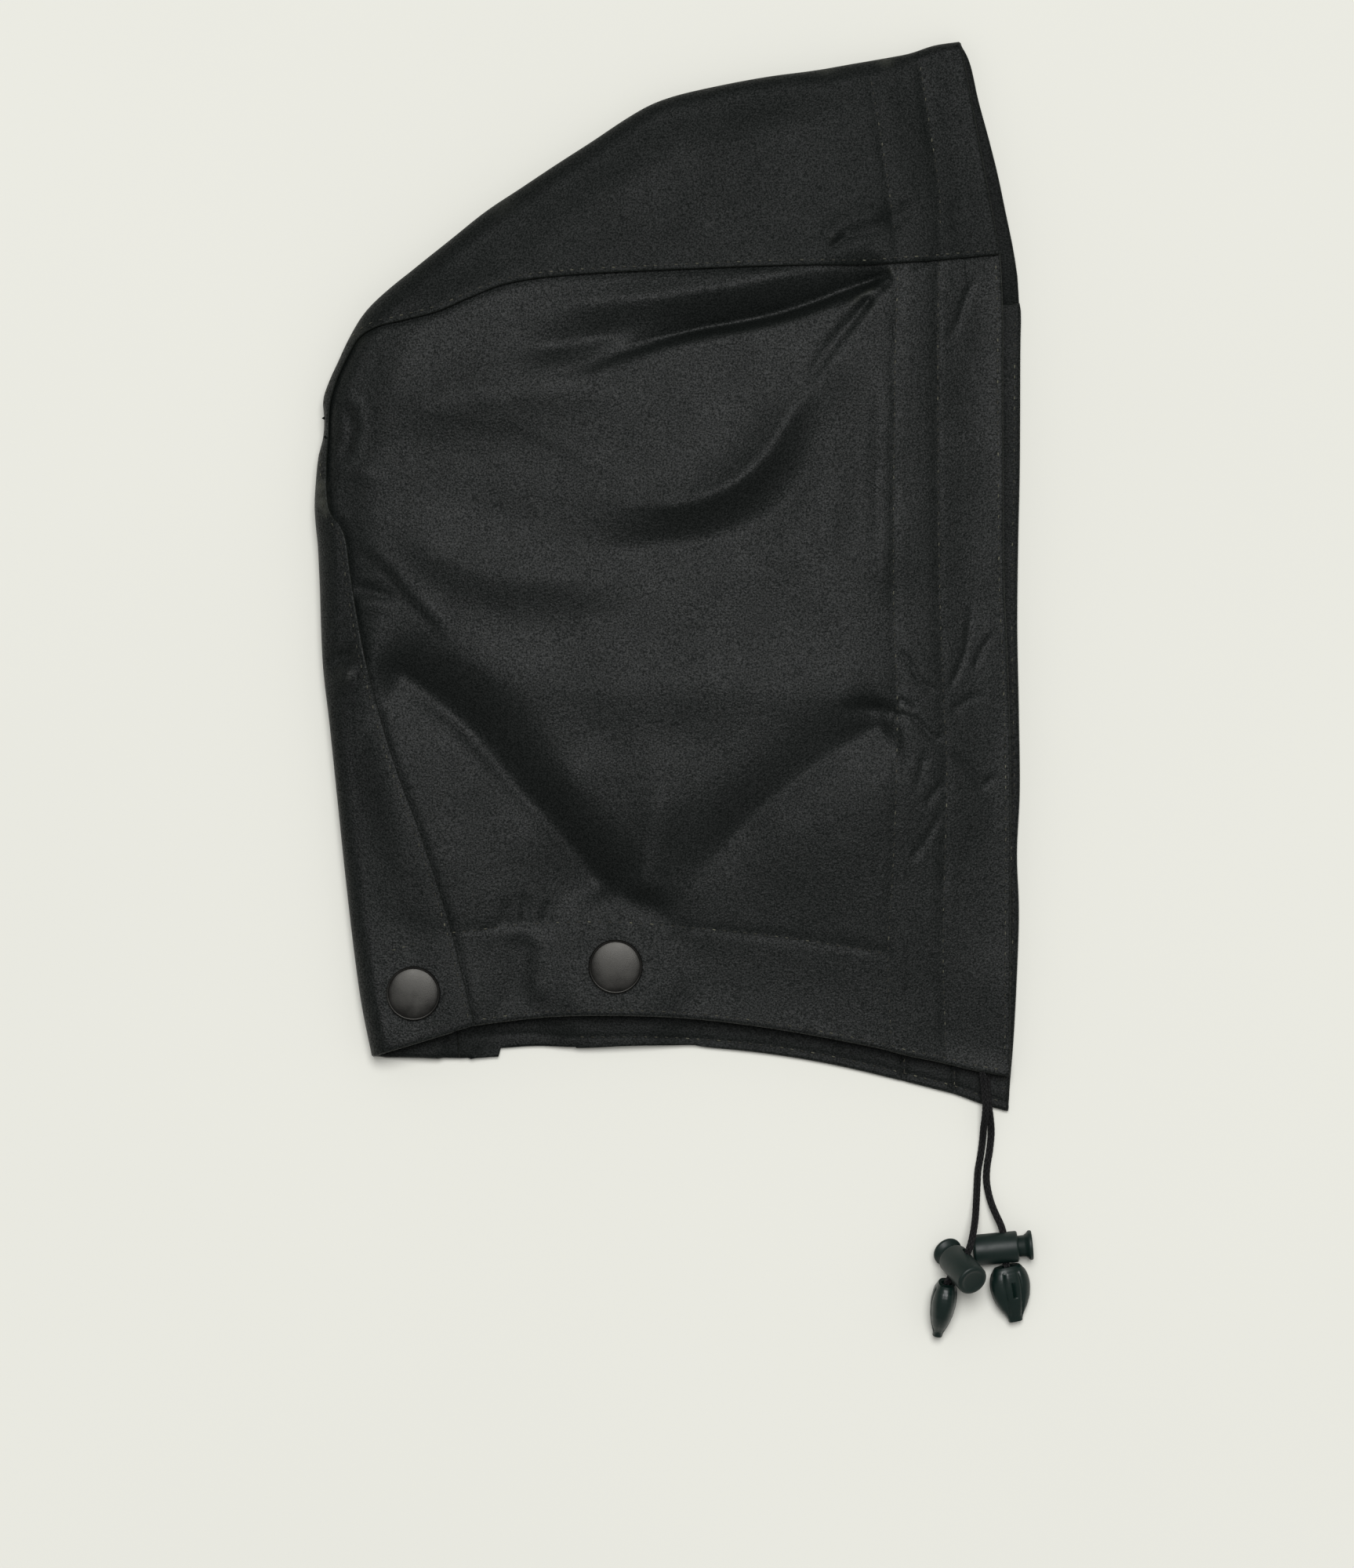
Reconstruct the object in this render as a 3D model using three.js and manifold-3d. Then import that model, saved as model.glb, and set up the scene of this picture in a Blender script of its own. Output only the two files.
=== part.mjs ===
// A detachable waxed-cotton hood, laid flat on its right-handed fold, with its drawcord ends and cord locks.
// Units are millimetres. +X runs towards the face opening, +Y towards the crown, +Z up from the surface.
// Across and up are shares of hood_depth and hood_height, from the back and from the lowest corner.

import * as THREE from 'three';
import { mergeVertices } from 'three/addons/utils/BufferGeometryUtils.js';
import Module from 'manifold-3d';

const wasm = await Module();
wasm.setup();

// Overall size, laid flat
const hood_depth = 223.25;
const hood_height = 340;

// Cloth
const cloth_wall = 1.0;
const hem_wall = 2.0;
const neck_hem_width = 30;
const front_hem_width = 36;
const hem_step = 4;
const piece_gap = 0.3;

// How far the upper side stands off the lower side
const fold_radius = 5.8;
const loft_rise = 11.5;
const fold_blend = 62;
const front_blend = 58;
const neck_blend = 66;
const neck_height = 11.2;

// Net of stations shared by the three panels
const seam_stations = 46;
const crown_stations = 22;
const near_columns = 6;
const far_columns = 6;
const column_crowding = 2;

// Press studs
const cap_radius = 8.6;
const cap_height = 2.0;
const cap_rim_width = 1.1;
const cap_rim_height = 0.8;
const post_radius = 2.0;
const post_clearance = 0.4;
const socket_radius = 6.3;
const socket_height = 1.8;
const socket_bore = 3.6;
const socket_web = 0.7;
const seat_reach = 15;
const seat_fade = 14;
const stud_sides = 16;
const socket_clearance = 2.3;
const lower_seat_height = cap_height + piece_gap;
const seat_stack = hem_wall + piece_gap + socket_height;
const upper_seat_height = lower_seat_height + 2 * seat_stack + socket_clearance;

// Drawcord
const cord_diameter = 2.1;
const cord_sides = 8;
const cord_steps = 30;
const mouth_width = 6;
const mouth_length = 14;
const mouth_height = 4.3;

// Spring cord locks
const barrel_length = 14.3;
const barrel_radius = 5;
const barrel_edge = 0.9;
const bore_radius = 3.5;
const bore_depth = 12;
const cord_hole_from_dome = 10;
const cord_hole_width = 3.2;
const cord_hole_length = 4.2;
const shank_radius = 3.1;
const shank_inside = 8.8;
const press_travel = 2.2;
const neck_run = 2.5;
const flare_run = 0.9;
const button_thickness = 1.2;
const button_radius = 4.75;
const lock_sides = 20;

// Cord ends
const end_length = 18;
const end_width = 13.2;
const end_thickness = 8;
const end_bore = 3.6;
const end_bore_depth = 6;
const end_sides = 14;

// The line round the crown, the back and the nape on which the hood is folded
const fold_line = [
  { across: 0.913, up: 1.000 },
  { across: 0.810, up: 0.985 },
  { across: 0.675, up: 0.970 },
  { across: 0.574, up: 0.959 },
  { across: 0.490, up: 0.945 },
  { across: 0.406, up: 0.913 },
  { across: 0.306, up: 0.870 },
  { across: 0.239, up: 0.840 },
  { across: 0.155, up: 0.796 },
  { across: 0.078, up: 0.751 },
  { across: 0.047, up: 0.717 },
  { across: 0.020, up: 0.682 },
  { across: 0.011, up: 0.651 },
  { across: 0.004, up: 0.610 },
  { across: 0.000, up: 0.566 },
  { across: 0.003, up: 0.518 },
  { across: 0.007, up: 0.415 },
  { across: 0.016, up: 0.364 },
  { across: 0.038, up: 0.224 },
  { across: 0.054, up: 0.135 },
  { across: 0.076, up: 0.051 },
];

// How round the fold is along that line, as a share of fold_radius
const fold_roundness = [
  { along: 0.00, radius: 0.62 },
  { along: 0.12, radius: 0.85 },
  { along: 0.45, radius: 1.12 },
  { along: 0.65, radius: 1.05 },
  { along: 1.00, radius: 1.00 },
];

// Seams between the centre panel and the side panels, from the face opening to the nape
const seam_right = [
  { across: 0.969, up: 0.800 },
  { across: 0.826, up: 0.790 },
  { across: 0.552, up: 0.785 },
  { across: 0.362, up: 0.779 },
  { across: 0.261, up: 0.770 },
  { across: 0.171, up: 0.745 },
  { across: 0.076, up: 0.728 },
  { across: 0.050, up: 0.712 },
  { across: 0.028, up: 0.680 },
  { across: 0.018, up: 0.647 },
  { across: 0.015, up: 0.599 },
  { across: 0.021, up: 0.566 },
  { across: 0.037, up: 0.533 },
  { across: 0.050, up: 0.482 },
  { across: 0.071, up: 0.408 },
  { across: 0.104, up: 0.335 },
  { across: 0.149, up: 0.254 },
  { across: 0.188, up: 0.173 },
  { across: 0.205, up: 0.129 },
  { across: 0.223, up: 0.081 },
];
const seam_left = [
  { across: 1.000, up: 0.748 },
  { across: 0.776, up: 0.735 },
  { across: 0.552, up: 0.720 },
  { across: 0.384, up: 0.689 },
  { across: 0.278, up: 0.643 },
  { across: 0.216, up: 0.585 },
  { across: 0.188, up: 0.518 },
  { across: 0.177, up: 0.452 },
  { across: 0.174, up: 0.379 },
  { across: 0.180, up: 0.305 },
  { across: 0.200, up: 0.158 },
  { across: 0.212, up: 0.049 },
];

// Front edges of the side panels, from the seam down to the neck
const front_right = [
  { across: 0.969, up: 0.800 },
  { across: 0.972, up: 0.673 },
  { across: 0.974, up: 0.482 },
  { across: 0.981, up: 0.379 },
  { across: 0.983, up: 0.305 },
  { across: 0.983, up: 0.033 },
];
const front_left = [
  { across: 1.000, up: 0.748 },
  { across: 0.998, up: 0.673 },
  { across: 0.997, up: 0.593 },
  { across: 0.994, up: 0.470 },
  { across: 0.998, up: 0.305 },
  { across: 0.993, up: 0.240 },
  { across: 0.997, up: 0.170 },
  { across: 0.982, up: 0.000 },
];

// Neck edges of the side panels, from the seam to the face opening
const neck_right = [
  { across: 0.223, up: 0.081 },
  { across: 0.328, up: 0.089 },
  { across: 0.424, up: 0.090 },
  { across: 0.530, up: 0.087 },
  { across: 0.619, up: 0.081 },
  { across: 0.709, up: 0.071 },
  { across: 0.810, up: 0.058 },
  { across: 0.888, up: 0.046 },
  { across: 0.983, up: 0.033 },
];
const neck_left = [
  { across: 0.212, up: 0.063 },
  { across: 0.373, up: 0.062 },
  { across: 0.541, up: 0.060 },
  { across: 0.675, up: 0.051 },
  { across: 0.810, up: 0.032 },
  { across: 0.982, up: 0.000 },
];

// The left neck hem ends in a short step beside the nape seam
const nape_step = { across: 0.258, drop: 0.0145, width: 0.35 };

// Heights of the upper front edge and the upper neck edge, as shares of neck_height
const front_heights = [
  { up: 0.000, height: 0.66 },
  { up: 0.033, height: 0.67 },
  { up: 0.150, height: 0.90 },
  { up: 0.350, height: 1.16 },
  { up: 0.600, height: 1.20 },
  { up: 0.800, height: 0.96 },
  { up: 1.000, height: 0.66 },
];
const neck_heights = [
  { across: 0.50, height: 1.00 },
  { across: 0.78, height: 0.96 },
  { across: 0.93, height: 0.70 },
  { across: 1.00, height: 0.66 },
];

// Ridges and valleys that the cloth of the upper side has fallen into: reach and rise in millimetres,
// rise below zero for a valley
const creases = [
  {
    name: 'ridge under the crown seam', reach: 7, rise: 1.6,
    line: [{ across: 0.776, up: 0.787 }, { across: 0.586, up: 0.767 }, { across: 0.328, up: 0.771 }],
  },
  {
    name: 'valley under the crown seam', reach: 8, rise: -2.8,
    line: [
      { across: 0.804, up: 0.779 }, { across: 0.698, up: 0.755 }, { across: 0.586, up: 0.729 },
      { across: 0.474, up: 0.704 }, { across: 0.306, up: 0.675 },
    ],
  },
  {
    name: 'ridge from the temple', reach: 10, rise: 3.0,
    line: [
      { across: 0.759, up: 0.708 }, { across: 0.692, up: 0.658 }, { across: 0.630, up: 0.610 },
      { across: 0.530, up: 0.574 }, { across: 0.373, up: 0.553 }, { across: 0.216, up: 0.549 },
    ],
  },
  {
    name: 'valley from the temple', reach: 9, rise: -3.2,
    line: [
      { across: 0.748, up: 0.673 }, { across: 0.709, up: 0.620 }, { across: 0.647, up: 0.564 },
      { across: 0.530, up: 0.529 }, { across: 0.373, up: 0.511 }, { across: 0.205, up: 0.514 },
    ],
  },
  {
    name: 'broad ridge at the cheek', reach: 15, rise: 3.4,
    line: [
      { across: 0.171, up: 0.445 }, { across: 0.272, up: 0.415 }, { across: 0.373, up: 0.390 },
      { across: 0.530, up: 0.397 }, { across: 0.664, up: 0.397 }, { across: 0.810, up: 0.384 },
    ],
  },
  {
    name: 'valley towards the nape', reach: 9, rise: -4.6,
    line: [
      { across: 0.087, up: 0.415 }, { across: 0.171, up: 0.379 }, { across: 0.239, up: 0.335 },
      { across: 0.317, up: 0.272 }, { across: 0.440, up: 0.184 },
    ],
  },
  {
    name: 'valley towards the front hem', reach: 9, rise: -3.6,
    line: [
      { across: 0.815, up: 0.368 }, { across: 0.742, up: 0.336 }, { across: 0.670, up: 0.303 },
      { across: 0.586, up: 0.257 }, { across: 0.474, up: 0.191 },
    ],
  },
];
const crease_fade = 18;

// Press studs by place. The left ones are underneath
const studs = [
  { name: 'nape_right', across: 0.137, up: 0.110, upper: true, panel: 'centre_panel' },
  { name: 'neck_right', across: 0.424, up: 0.135, upper: true, panel: 'side_panel_right' },
  { name: 'nape_left', across: 0.137, up: 0.096, upper: false, panel: 'centre_panel' },
  { name: 'neck_left', across: 0.424, up: 0.112, upper: false, panel: 'side_panel_left' },
];

// The right drawcord end, by points from the hood's lowest front corner, out to its lock
const cord_right_points = [
  { right: -8.1, up: 12.5, height: 6.75 },
  { right: -7.5, up: 7.8, height: 6.00 },
  { right: -6.9, up: 2.0, height: 5.65 },
  { right: -7.1, up: -2.0, height: 4.90 },
  { right: -7.5, up: -5.8, height: 3.30 },
  { right: -7.8, up: -10.0, height: 1.75 },
  { right: -8.4, up: -14.8, height: 1.20 },
  { right: -9.2, up: -19.5, height: 1.15 },
  { right: -9.5, up: -24.3, height: 1.50 },
  { right: -9.8, up: -29.0, height: 3.20 },
  { right: -10.3, up: -34.3, height: 6.80 },
  { right: -11.1, up: -38.8, height: 9.80 },
  { right: -12.0, up: -42.4, height: 11.30 },
];

// The left drawcord end, which lies lower and to the right of the other
const cord_left_points = [
  { right: -6.6, up: 15.7, height: 3.30 },
  { right: -6.5, up: 10.3, height: 3.30 },
  { right: -6.2, up: 4.0, height: 3.30 },
  { right: -5.7, up: 0.0, height: 3.10 },
  { right: -5.2, up: -3.8, height: 2.20 },
  { right: -5.0, up: -7.5, height: 1.35 },
  { right: -5.5, up: -13.0, height: 1.15 },
  { right: -6.3, up: -18.0, height: 1.15 },
  { right: -6.5, up: -22.3, height: 1.20 },
  { right: -6.0, up: -26.0, height: 1.60 },
  { right: -5.0, up: -29.8, height: 2.60 },
  { right: -3.5, up: -33.5, height: 3.90 },
  { right: -2.2, up: -36.3, height: 4.70 },
];

// How each cord lock lies: the place of its domed end from the same corner, the bearing and the fall of its
// axis from there, and its turn about that axis, in degrees
const lock_right_pose = { right: -11.5, up: -53.5, height: 18.1, bearing: 132, fall: 52, turn: -18 };
const lock_left_pose = { right: -10.9, up: -44.7, height: 5.0, bearing: 5.5, fall: 0, turn: 0 };

// How each cord end lies: the place of its mouth, the bearing and the fall of its axis, and its turn
const end_right_pose = { right: -19.4, up: -54.7, bearing: 260.5, fall: 18, turn: 0 };
const end_left_pose = { right: -0.2, up: -49.6, bearing: 279.5, fall: 8, turn: 74 };

// Half width and half thickness of a cord end along its length, as shares of its own sizes
const end_sections = [
  { along: 0.00, wide: 0.42, thick: 0.56 },
  { along: 0.08, wide: 0.66, thick: 0.78 },
  { along: 0.22, wide: 0.92, thick: 0.96 },
  { along: 0.38, wide: 1.00, thick: 1.00 },
  { along: 0.58, wide: 0.88, thick: 0.88 },
  { along: 0.76, wide: 0.64, thick: 0.66 },
  { along: 0.91, wide: 0.36, thick: 0.44 },
  { along: 1.00, wide: 0.31, thick: 0.40 },
];

const cloth_colour = 0x2c2e2d;
const metal_colour = 0x4b4a48;
const plastic_colour = 0x1f2e2a;
const cord_colour = 0x141414;

function cloth() {
  return new THREE.MeshStandardMaterial({ color: cloth_colour, roughness: 0.75, metalness: 0 });
}

function gunmetal() {
  return new THREE.MeshStandardMaterial({ color: metal_colour, roughness: 0.4, metalness: 0.9 });
}

function plastic() {
  return new THREE.MeshStandardMaterial({ color: plastic_colour, roughness: 0.5, metalness: 0 });
}

function braid() {
  return new THREE.MeshStandardMaterial({ color: cord_colour, roughness: 0.9, metalness: 0 });
}

function placed(row) {
  return new THREE.Vector2((row.across - 0.5) * hood_depth, (row.up - 0.5) * hood_height);
}

function flatCurve(rows) {
  const points = rows.map((row) => new THREE.Vector3(...placed(row).toArray(), 0));
  return new THREE.CatmullRomCurve3(points, false, 'centripetal');
}

function stationsOf(rows, count) {
  return flatCurve(rows).getSpacedPoints(count).map((point) => new THREE.Vector2(point.x, point.y));
}

function smooth(value) {
  const share = THREE.MathUtils.clamp(value, 0, 1);
  return share * share * (3 - 2 * share);
}

// Reads a table column at a place between its rows
function tableAt(rows, key, column, value) {
  let row = 1;
  while (row < rows.length - 1 && value > rows[row][key]) row += 1;
  const low = rows[row - 1];
  const high = rows[row];
  const share = THREE.MathUtils.clamp((value - low[key]) / (high[key] - low[key]), 0, 1);
  return low[column] + (high[column] - low[column]) * smooth(share);
}

// The nearest place on a line of points: its distance, its share along the line and the way out to it
function nearest(line, x, y) {
  let best = { distance: Infinity };
  for (let step = 0; step < line.length - 1; step += 1) {
    const start = line[step];
    const run_x = line[step + 1].x - start.x;
    const run_y = line[step + 1].y - start.y;
    const run = run_x * run_x + run_y * run_y;
    const share = THREE.MathUtils.clamp(((x - start.x) * run_x + (y - start.y) * run_y) / run, 0, 1);
    const off_x = start.x + run_x * share - x;
    const off_y = start.y + run_y * share - y;
    const distance = Math.hypot(off_x, off_y);
    if (distance < best.distance) {
      const side = Math.sqrt(run);
      best = { distance, along: (step + share) / (line.length - 1), out_x: run_y / side, out_y: -run_x / side };
    }
  }
  return best;
}

const fold_stations = stationsOf(fold_line, seam_stations);
const seam_right_stations = stationsOf(seam_right, seam_stations);
const seam_left_stations = stationsOf(seam_left, seam_stations);
const side_rows = seam_stations - crown_stations;
const front_right_stations = stationsOf(front_right, side_rows);
const front_left_stations = stationsOf(front_left, side_rows);
const neck_right_stations = stationsOf(neck_right, crown_stations);
const neck_left_stations = stationsOf(neck_left, crown_stations);
const fine_fold = stationsOf(fold_line, 3 * seam_stations);
const edge_right = [fold_stations[0], ...front_right_stations];
const edge_left = [fold_stations[0], ...front_left_stations];
const neck_edge_right = [fold_stations[seam_stations], ...neck_right_stations];
const neck_edge_left = [fold_stations[seam_stations], ...neck_left_stations];
const crease_lines = creases.map((crease) => stationsOf(crease.line, crease.line.length * 3));

function foldRadius(along) {
  return fold_radius * tableAt(fold_roundness, 'along', 'radius', along);
}

// Rise and fall of one crease at a place, fading out past its two ends
function creaseAt(index, x, y) {
  const crease = creases[index];
  const place = nearest(crease_lines[index], x, y);
  const reach = place.distance / crease.reach;
  const fade = smooth(Math.min(place.along, 1 - place.along) * 5 + crease.reach / crease_fade - 0.2);
  return crease.rise * fade * Math.exp(-reach * reach);
}

function seatAt(stud, x, y) {
  const centre = placed(stud);
  const distance = Math.hypot(x - centre.x, y - centre.y);
  return 1 - smooth((distance - seat_reach) / seat_fade);
}

// Height of the outer face of the upper side
function upperFace(x, y) {
  const fold = nearest(fine_fold, x, y);
  const front = nearest(edge_right, x, y);
  const neck = nearest(neck_edge_right, x, y);
  const radius = foldRadius(fold.along);
  const lean = Math.max(0, 1 - fold.distance / radius);
  const roll = radius * (1 - Math.sqrt(1 - lean * lean));
  const up = y / hood_height + 0.5;
  const across = x / hood_depth + 0.5;
  const front_height = neck_height * tableAt(front_heights, 'up', 'height', up);
  const back_height = neck_height * tableAt(neck_heights, 'across', 'height', across);
  const pulls = [
    { weight: 1 / (fold.distance ** 2 + 1), height: 2 * radius },
    { weight: 1 / (front.distance ** 2 + 1), height: front_height },
    { weight: 1 / (neck.distance ** 2 + 1), height: back_height },
  ];
  const weight = pulls.reduce((sum, pull) => sum + pull.weight, 0);
  const base = pulls.reduce((sum, pull) => sum + pull.weight * pull.height, 0) / weight;
  const inner = Math.min(smooth(fold.distance / 12), smooth(front.distance / 40), smooth(neck.distance / 34));
  const rise = loft_rise * smooth(fold.distance / fold_blend + 0.12) * smooth(front.distance / front_blend)
    * smooth(neck.distance / neck_blend) * smooth(fold.distance / 20);
  const folds = creases.reduce((sum, crease, index) => sum + creaseAt(index, x, y), 0) * inner;
  let height = base + rise + folds;
  for (const stud of studs.filter((row) => row.upper)) {
    height += (upper_seat_height - height) * seatAt(stud, x, y);
  }
  return height - roll - Math.max(0, height - 2 * radius) * lean;
}

// Height of the outer face of the lower side, which lies on the surface except over its stud caps
function lowerFace(x, y) {
  const fold = nearest(fine_fold, x, y);
  const radius = foldRadius(fold.along);
  const lean = Math.max(0, 1 - fold.distance / radius);
  const roll = radius * (1 - Math.sqrt(1 - lean * lean));
  const lift = Math.max(...studs.filter((row) => !row.upper).map((stud) => seatAt(stud, x, y)));
  return roll + lower_seat_height * lift * (1 - lean);
}

// The way out of the cloth at a place on one of its outer faces
function outward(face, sign, x, y) {
  const fold = nearest(fine_fold, x, y);
  const lean = Math.max(0, 1 - fold.distance / foldRadius(fold.along));
  if (lean > 0.04) {
    const rise = Math.sqrt(Math.max(0, 1 - lean * lean));
    return new THREE.Vector3(fold.out_x * lean, fold.out_y * lean, sign * rise);
  }
  const reach = 0.5;
  const slope_x = (face(x + reach, y) - face(x - reach, y)) / (2 * reach);
  const slope_y = (face(x, y + reach) - face(x, y - reach)) / (2 * reach);
  return new THREE.Vector3(-slope_x * sign, -slope_y * sign, sign).normalize();
}

// The hems are doubled cloth
function wallAt(upper, x, y) {
  const front = nearest(upper ? edge_right : edge_left, x, y).distance;
  const neck = nearest(upper ? neck_edge_right : neck_edge_left, x, y).distance;
  const doubled = Math.max(
    smooth((front_hem_width - front) / hem_step),
    smooth((neck_hem_width - neck) / hem_step),
  );
  return cloth_wall + (hem_wall - cloth_wall) * doubled;
}

function clothPoint(upper, place) {
  const face = upper ? upperFace : lowerFace;
  const sign = upper ? 1 : -1;
  const outer = new THREE.Vector3(place.x, place.y, face(place.x, place.y));
  const way = outward(face, sign, place.x, place.y);
  const inner = outer.clone().addScaledVector(way, -wallAt(upper, place.x, place.y));
  return { outer, inner };
}

// A closed wall from a net of outer and inner points
function wallGeometry(net) {
  const rows = net.length;
  const columns = net[0].length;
  const positions = [];
  for (const side of ['outer', 'inner']) {
    net.forEach((row) => row.forEach((point) => positions.push(...point[side].toArray())));
  }
  const at = (side, row, column) => side * rows * columns + row * columns + column;
  const faces = [];
  const quad = (a, b, c, d) => faces.push(a, b, c, a, c, d);
  for (let row = 0; row < rows - 1; row += 1) {
    for (let column = 0; column < columns - 1; column += 1) {
      quad(at(0, row, column), at(0, row, column + 1), at(0, row + 1, column + 1), at(0, row + 1, column));
      quad(at(1, row, column), at(1, row + 1, column), at(1, row + 1, column + 1), at(1, row, column + 1));
    }
  }
  for (let row = 0; row < rows - 1; row += 1) {
    quad(at(0, row, 0), at(0, row + 1, 0), at(1, row + 1, 0), at(1, row, 0));
    quad(at(0, row + 1, columns - 1), at(0, row, columns - 1), at(1, row, columns - 1), at(1, row + 1, columns - 1));
  }
  for (let column = 0; column < columns - 1; column += 1) {
    quad(at(0, 0, column + 1), at(0, 0, column), at(1, 0, column), at(1, 0, column + 1));
    quad(at(0, rows - 1, column), at(0, rows - 1, column + 1), at(1, rows - 1, column + 1), at(1, rows - 1, column));
  }
  return outwardFaces(positions, faces);
}

// Turns the faces over where the body they close has come out inside out
function outwardFaces(positions, faces) {
  const corner = (index) => new THREE.Vector3().fromArray(positions, index * 3);
  let volume = 0;
  for (let face = 0; face < faces.length; face += 3) {
    volume += corner(faces[face]).dot(corner(faces[face + 1]).cross(corner(faces[face + 2])));
  }
  const turned = [];
  for (let face = 0; face < faces.length; face += 3) {
    const [a, b, c] = faces.slice(face, face + 3);
    turned.push(...(volume > 0 ? [a, b, c] : [a, c, b]));
  }
  const geometry = new THREE.BufferGeometry();
  geometry.setAttribute('position', new THREE.Float32BufferAttribute(positions, 3));
  geometry.setIndex(turned);
  return geometry;
}

// Seam stations moved half a gap to one side of the seam, in plan
function besideSeam(stations, towards) {
  return stations.map((station, index) => {
    const before = stations[Math.max(0, index - 1)];
    const after = stations[Math.min(stations.length - 1, index + 1)];
    const run = after.clone().sub(before).normalize();
    return station.clone().add(new THREE.Vector2(-run.y, run.x).multiplyScalar(towards * piece_gap / 2));
  });
}

// A side panel's net, blended between its four edges
function sidePanelPlaces(seam, front, neck) {
  const crown = seam.slice(0, crown_stations + 1).reverse();
  const back = seam.slice(crown_stations).reverse();
  const places = [];
  for (let row = 0; row <= side_rows; row += 1) {
    const up = row / side_rows;
    const line = [];
    for (let column = 0; column <= crown_stations; column += 1) {
      const across = column / crown_stations;
      const place = neck[column].clone().multiplyScalar(1 - up);
      place.addScaledVector(crown[column], up);
      place.addScaledVector(back[row], 1 - across);
      place.addScaledVector(front[side_rows - row], across);
      place.addScaledVector(neck[0], -(1 - across) * (1 - up));
      place.addScaledVector(neck[crown_stations], -across * (1 - up));
      place.addScaledVector(crown[0], -(1 - across) * up);
      place.addScaledVector(crown[crown_stations], -across * up);
      line.push(place);
    }
    places.push(line);
  }
  return places;
}

function rightSideGeometry() {
  const seam = besideSeam(seam_right_stations, 1);
  const neck = [seam[seam_stations], ...neck_right_stations.slice(1)];
  const front = [seam[0], ...front_right_stations.slice(1)];
  const places = sidePanelPlaces(seam, front, neck);
  return wallGeometry(places.map((line) => line.map((place) => clothPoint(true, place))));
}

// The lowest row of the left side panel drops by the nape step, up to a column moved onto the step's end
function leftSideGeometry() {
  const seam = besideSeam(seam_left_stations, 1);
  const neck = neck_left_stations.slice();
  neck[0] = new THREE.Vector2(seam[seam_stations].x, neck[0].y);
  const back_end = seam[seam_stations].clone();
  seam[seam_stations] = neck[0];
  const places = sidePanelPlaces(seam, [seam[0], ...front_left_stations.slice(1)], neck);
  const step_end = placed({ across: nape_step.across, up: 0 }).x;
  const lowest = places[0];
  const last = lowest.findIndex((place) => place.x > step_end) - 1;
  lowest[last].x = step_end - nape_step.width / 2;
  lowest[last + 1].x = step_end + nape_step.width / 2;
  for (let column = 0; column <= last; column += 1) lowest[column].y -= nape_step.drop * hood_height;
  lowest[0].copy(back_end);
  return wallGeometry(places.map((line) => line.map((place) => clothPoint(false, place))));
}

// The centre panel's net: each station runs from the right seam over the fold to the left seam
function centrePanelGeometry() {
  const right = besideSeam(seam_right_stations, -1);
  const left = besideSeam(seam_left_stations, -1);
  const net = fold_stations.map((fold, index) => {
    const line = [];
    for (let column = 0; column < near_columns; column += 1) {
      const share = (1 - column / near_columns) ** column_crowding;
      line.push(clothPoint(true, fold.clone().lerp(right[index], share)));
    }
    for (let column = 0; column <= far_columns; column += 1) {
      const share = (column / far_columns) ** column_crowding;
      line.push(clothPoint(false, fold.clone().lerp(left[index], share)));
    }
    return line;
  });
  return wallGeometry(net);
}

// A closed geometry as a solid that can be cut and joined
function solidOf(geometry) {
  const bare = geometry.clone();
  bare.deleteAttribute('normal');
  bare.deleteAttribute('uv');
  const merged = mergeVertices(bare, 1e-4);
  const index = merged.getIndex().array;
  const faces = [];
  for (let face = 0; face < index.length; face += 3) {
    const [a, b, c] = [index[face], index[face + 1], index[face + 2]];
    if (a !== b && b !== c && c !== a) faces.push(a, b, c);
  }
  return new wasm.Manifold(new wasm.Mesh({
    numProp: 3,
    vertProperties: new Float32Array(merged.getAttribute('position').array),
    triVerts: new Uint32Array(faces),
  }));
}

function geometryOf(solid) {
  const mesh = solid.getMesh();
  const geometry = new THREE.BufferGeometry();
  geometry.setAttribute('position', new THREE.BufferAttribute(mesh.vertProperties, 3));
  geometry.setIndex(new THREE.BufferAttribute(mesh.triVerts, 1));
  return geometry;
}

// A body turned about +Z from rows of radius and height
function turned(profile, sides) {
  const points = profile.map((row) => new THREE.Vector2(row.radius, row.height));
  return new THREE.LatheGeometry(points, sides).rotateX(Math.PI / 2);
}

function seatHeight(stud) {
  return stud.upper ? upper_seat_height : lower_seat_height;
}

function withStudHoles(geometry, panel) {
  let solid = solidOf(geometry);
  for (const stud of studs.filter((row) => row.panel === panel)) {
    const radius = post_radius + post_clearance;
    const centre = placed(stud);
    const hole = new THREE.CylinderGeometry(radius, radius, 3 * hem_wall, stud_sides);
    hole.rotateX(Math.PI / 2).translate(centre.x, centre.y, seatHeight(stud));
    solid = solid.subtract(solidOf(hole));
  }
  return solid;
}

// The end of the left drawcord tunnel, a low swelling on the inside of the left front hem
function tunnelMouth() {
  const corner = placed(front_left[front_left.length - 1]);
  const start = cord_left_points[0];
  const half = mouth_width / 2;
  const arch = new THREE.Shape();
  arch.moveTo(-half, hem_wall / 2);
  arch.lineTo(half, hem_wall / 2);
  arch.quadraticCurveTo(half * 0.7, mouth_height, 0, mouth_height);
  arch.quadraticCurveTo(-half * 0.7, mouth_height, -half, hem_wall / 2);
  const mouth = new THREE.ExtrudeGeometry(arch, { depth: mouth_length, bevelEnabled: false, curveSegments: 4 });
  mouth.rotateX(Math.PI / 2).rotateZ(Math.PI);
  return mouth.translate(corner.x + start.right, corner.y + start.up + piece_gap, 0);
}

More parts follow.
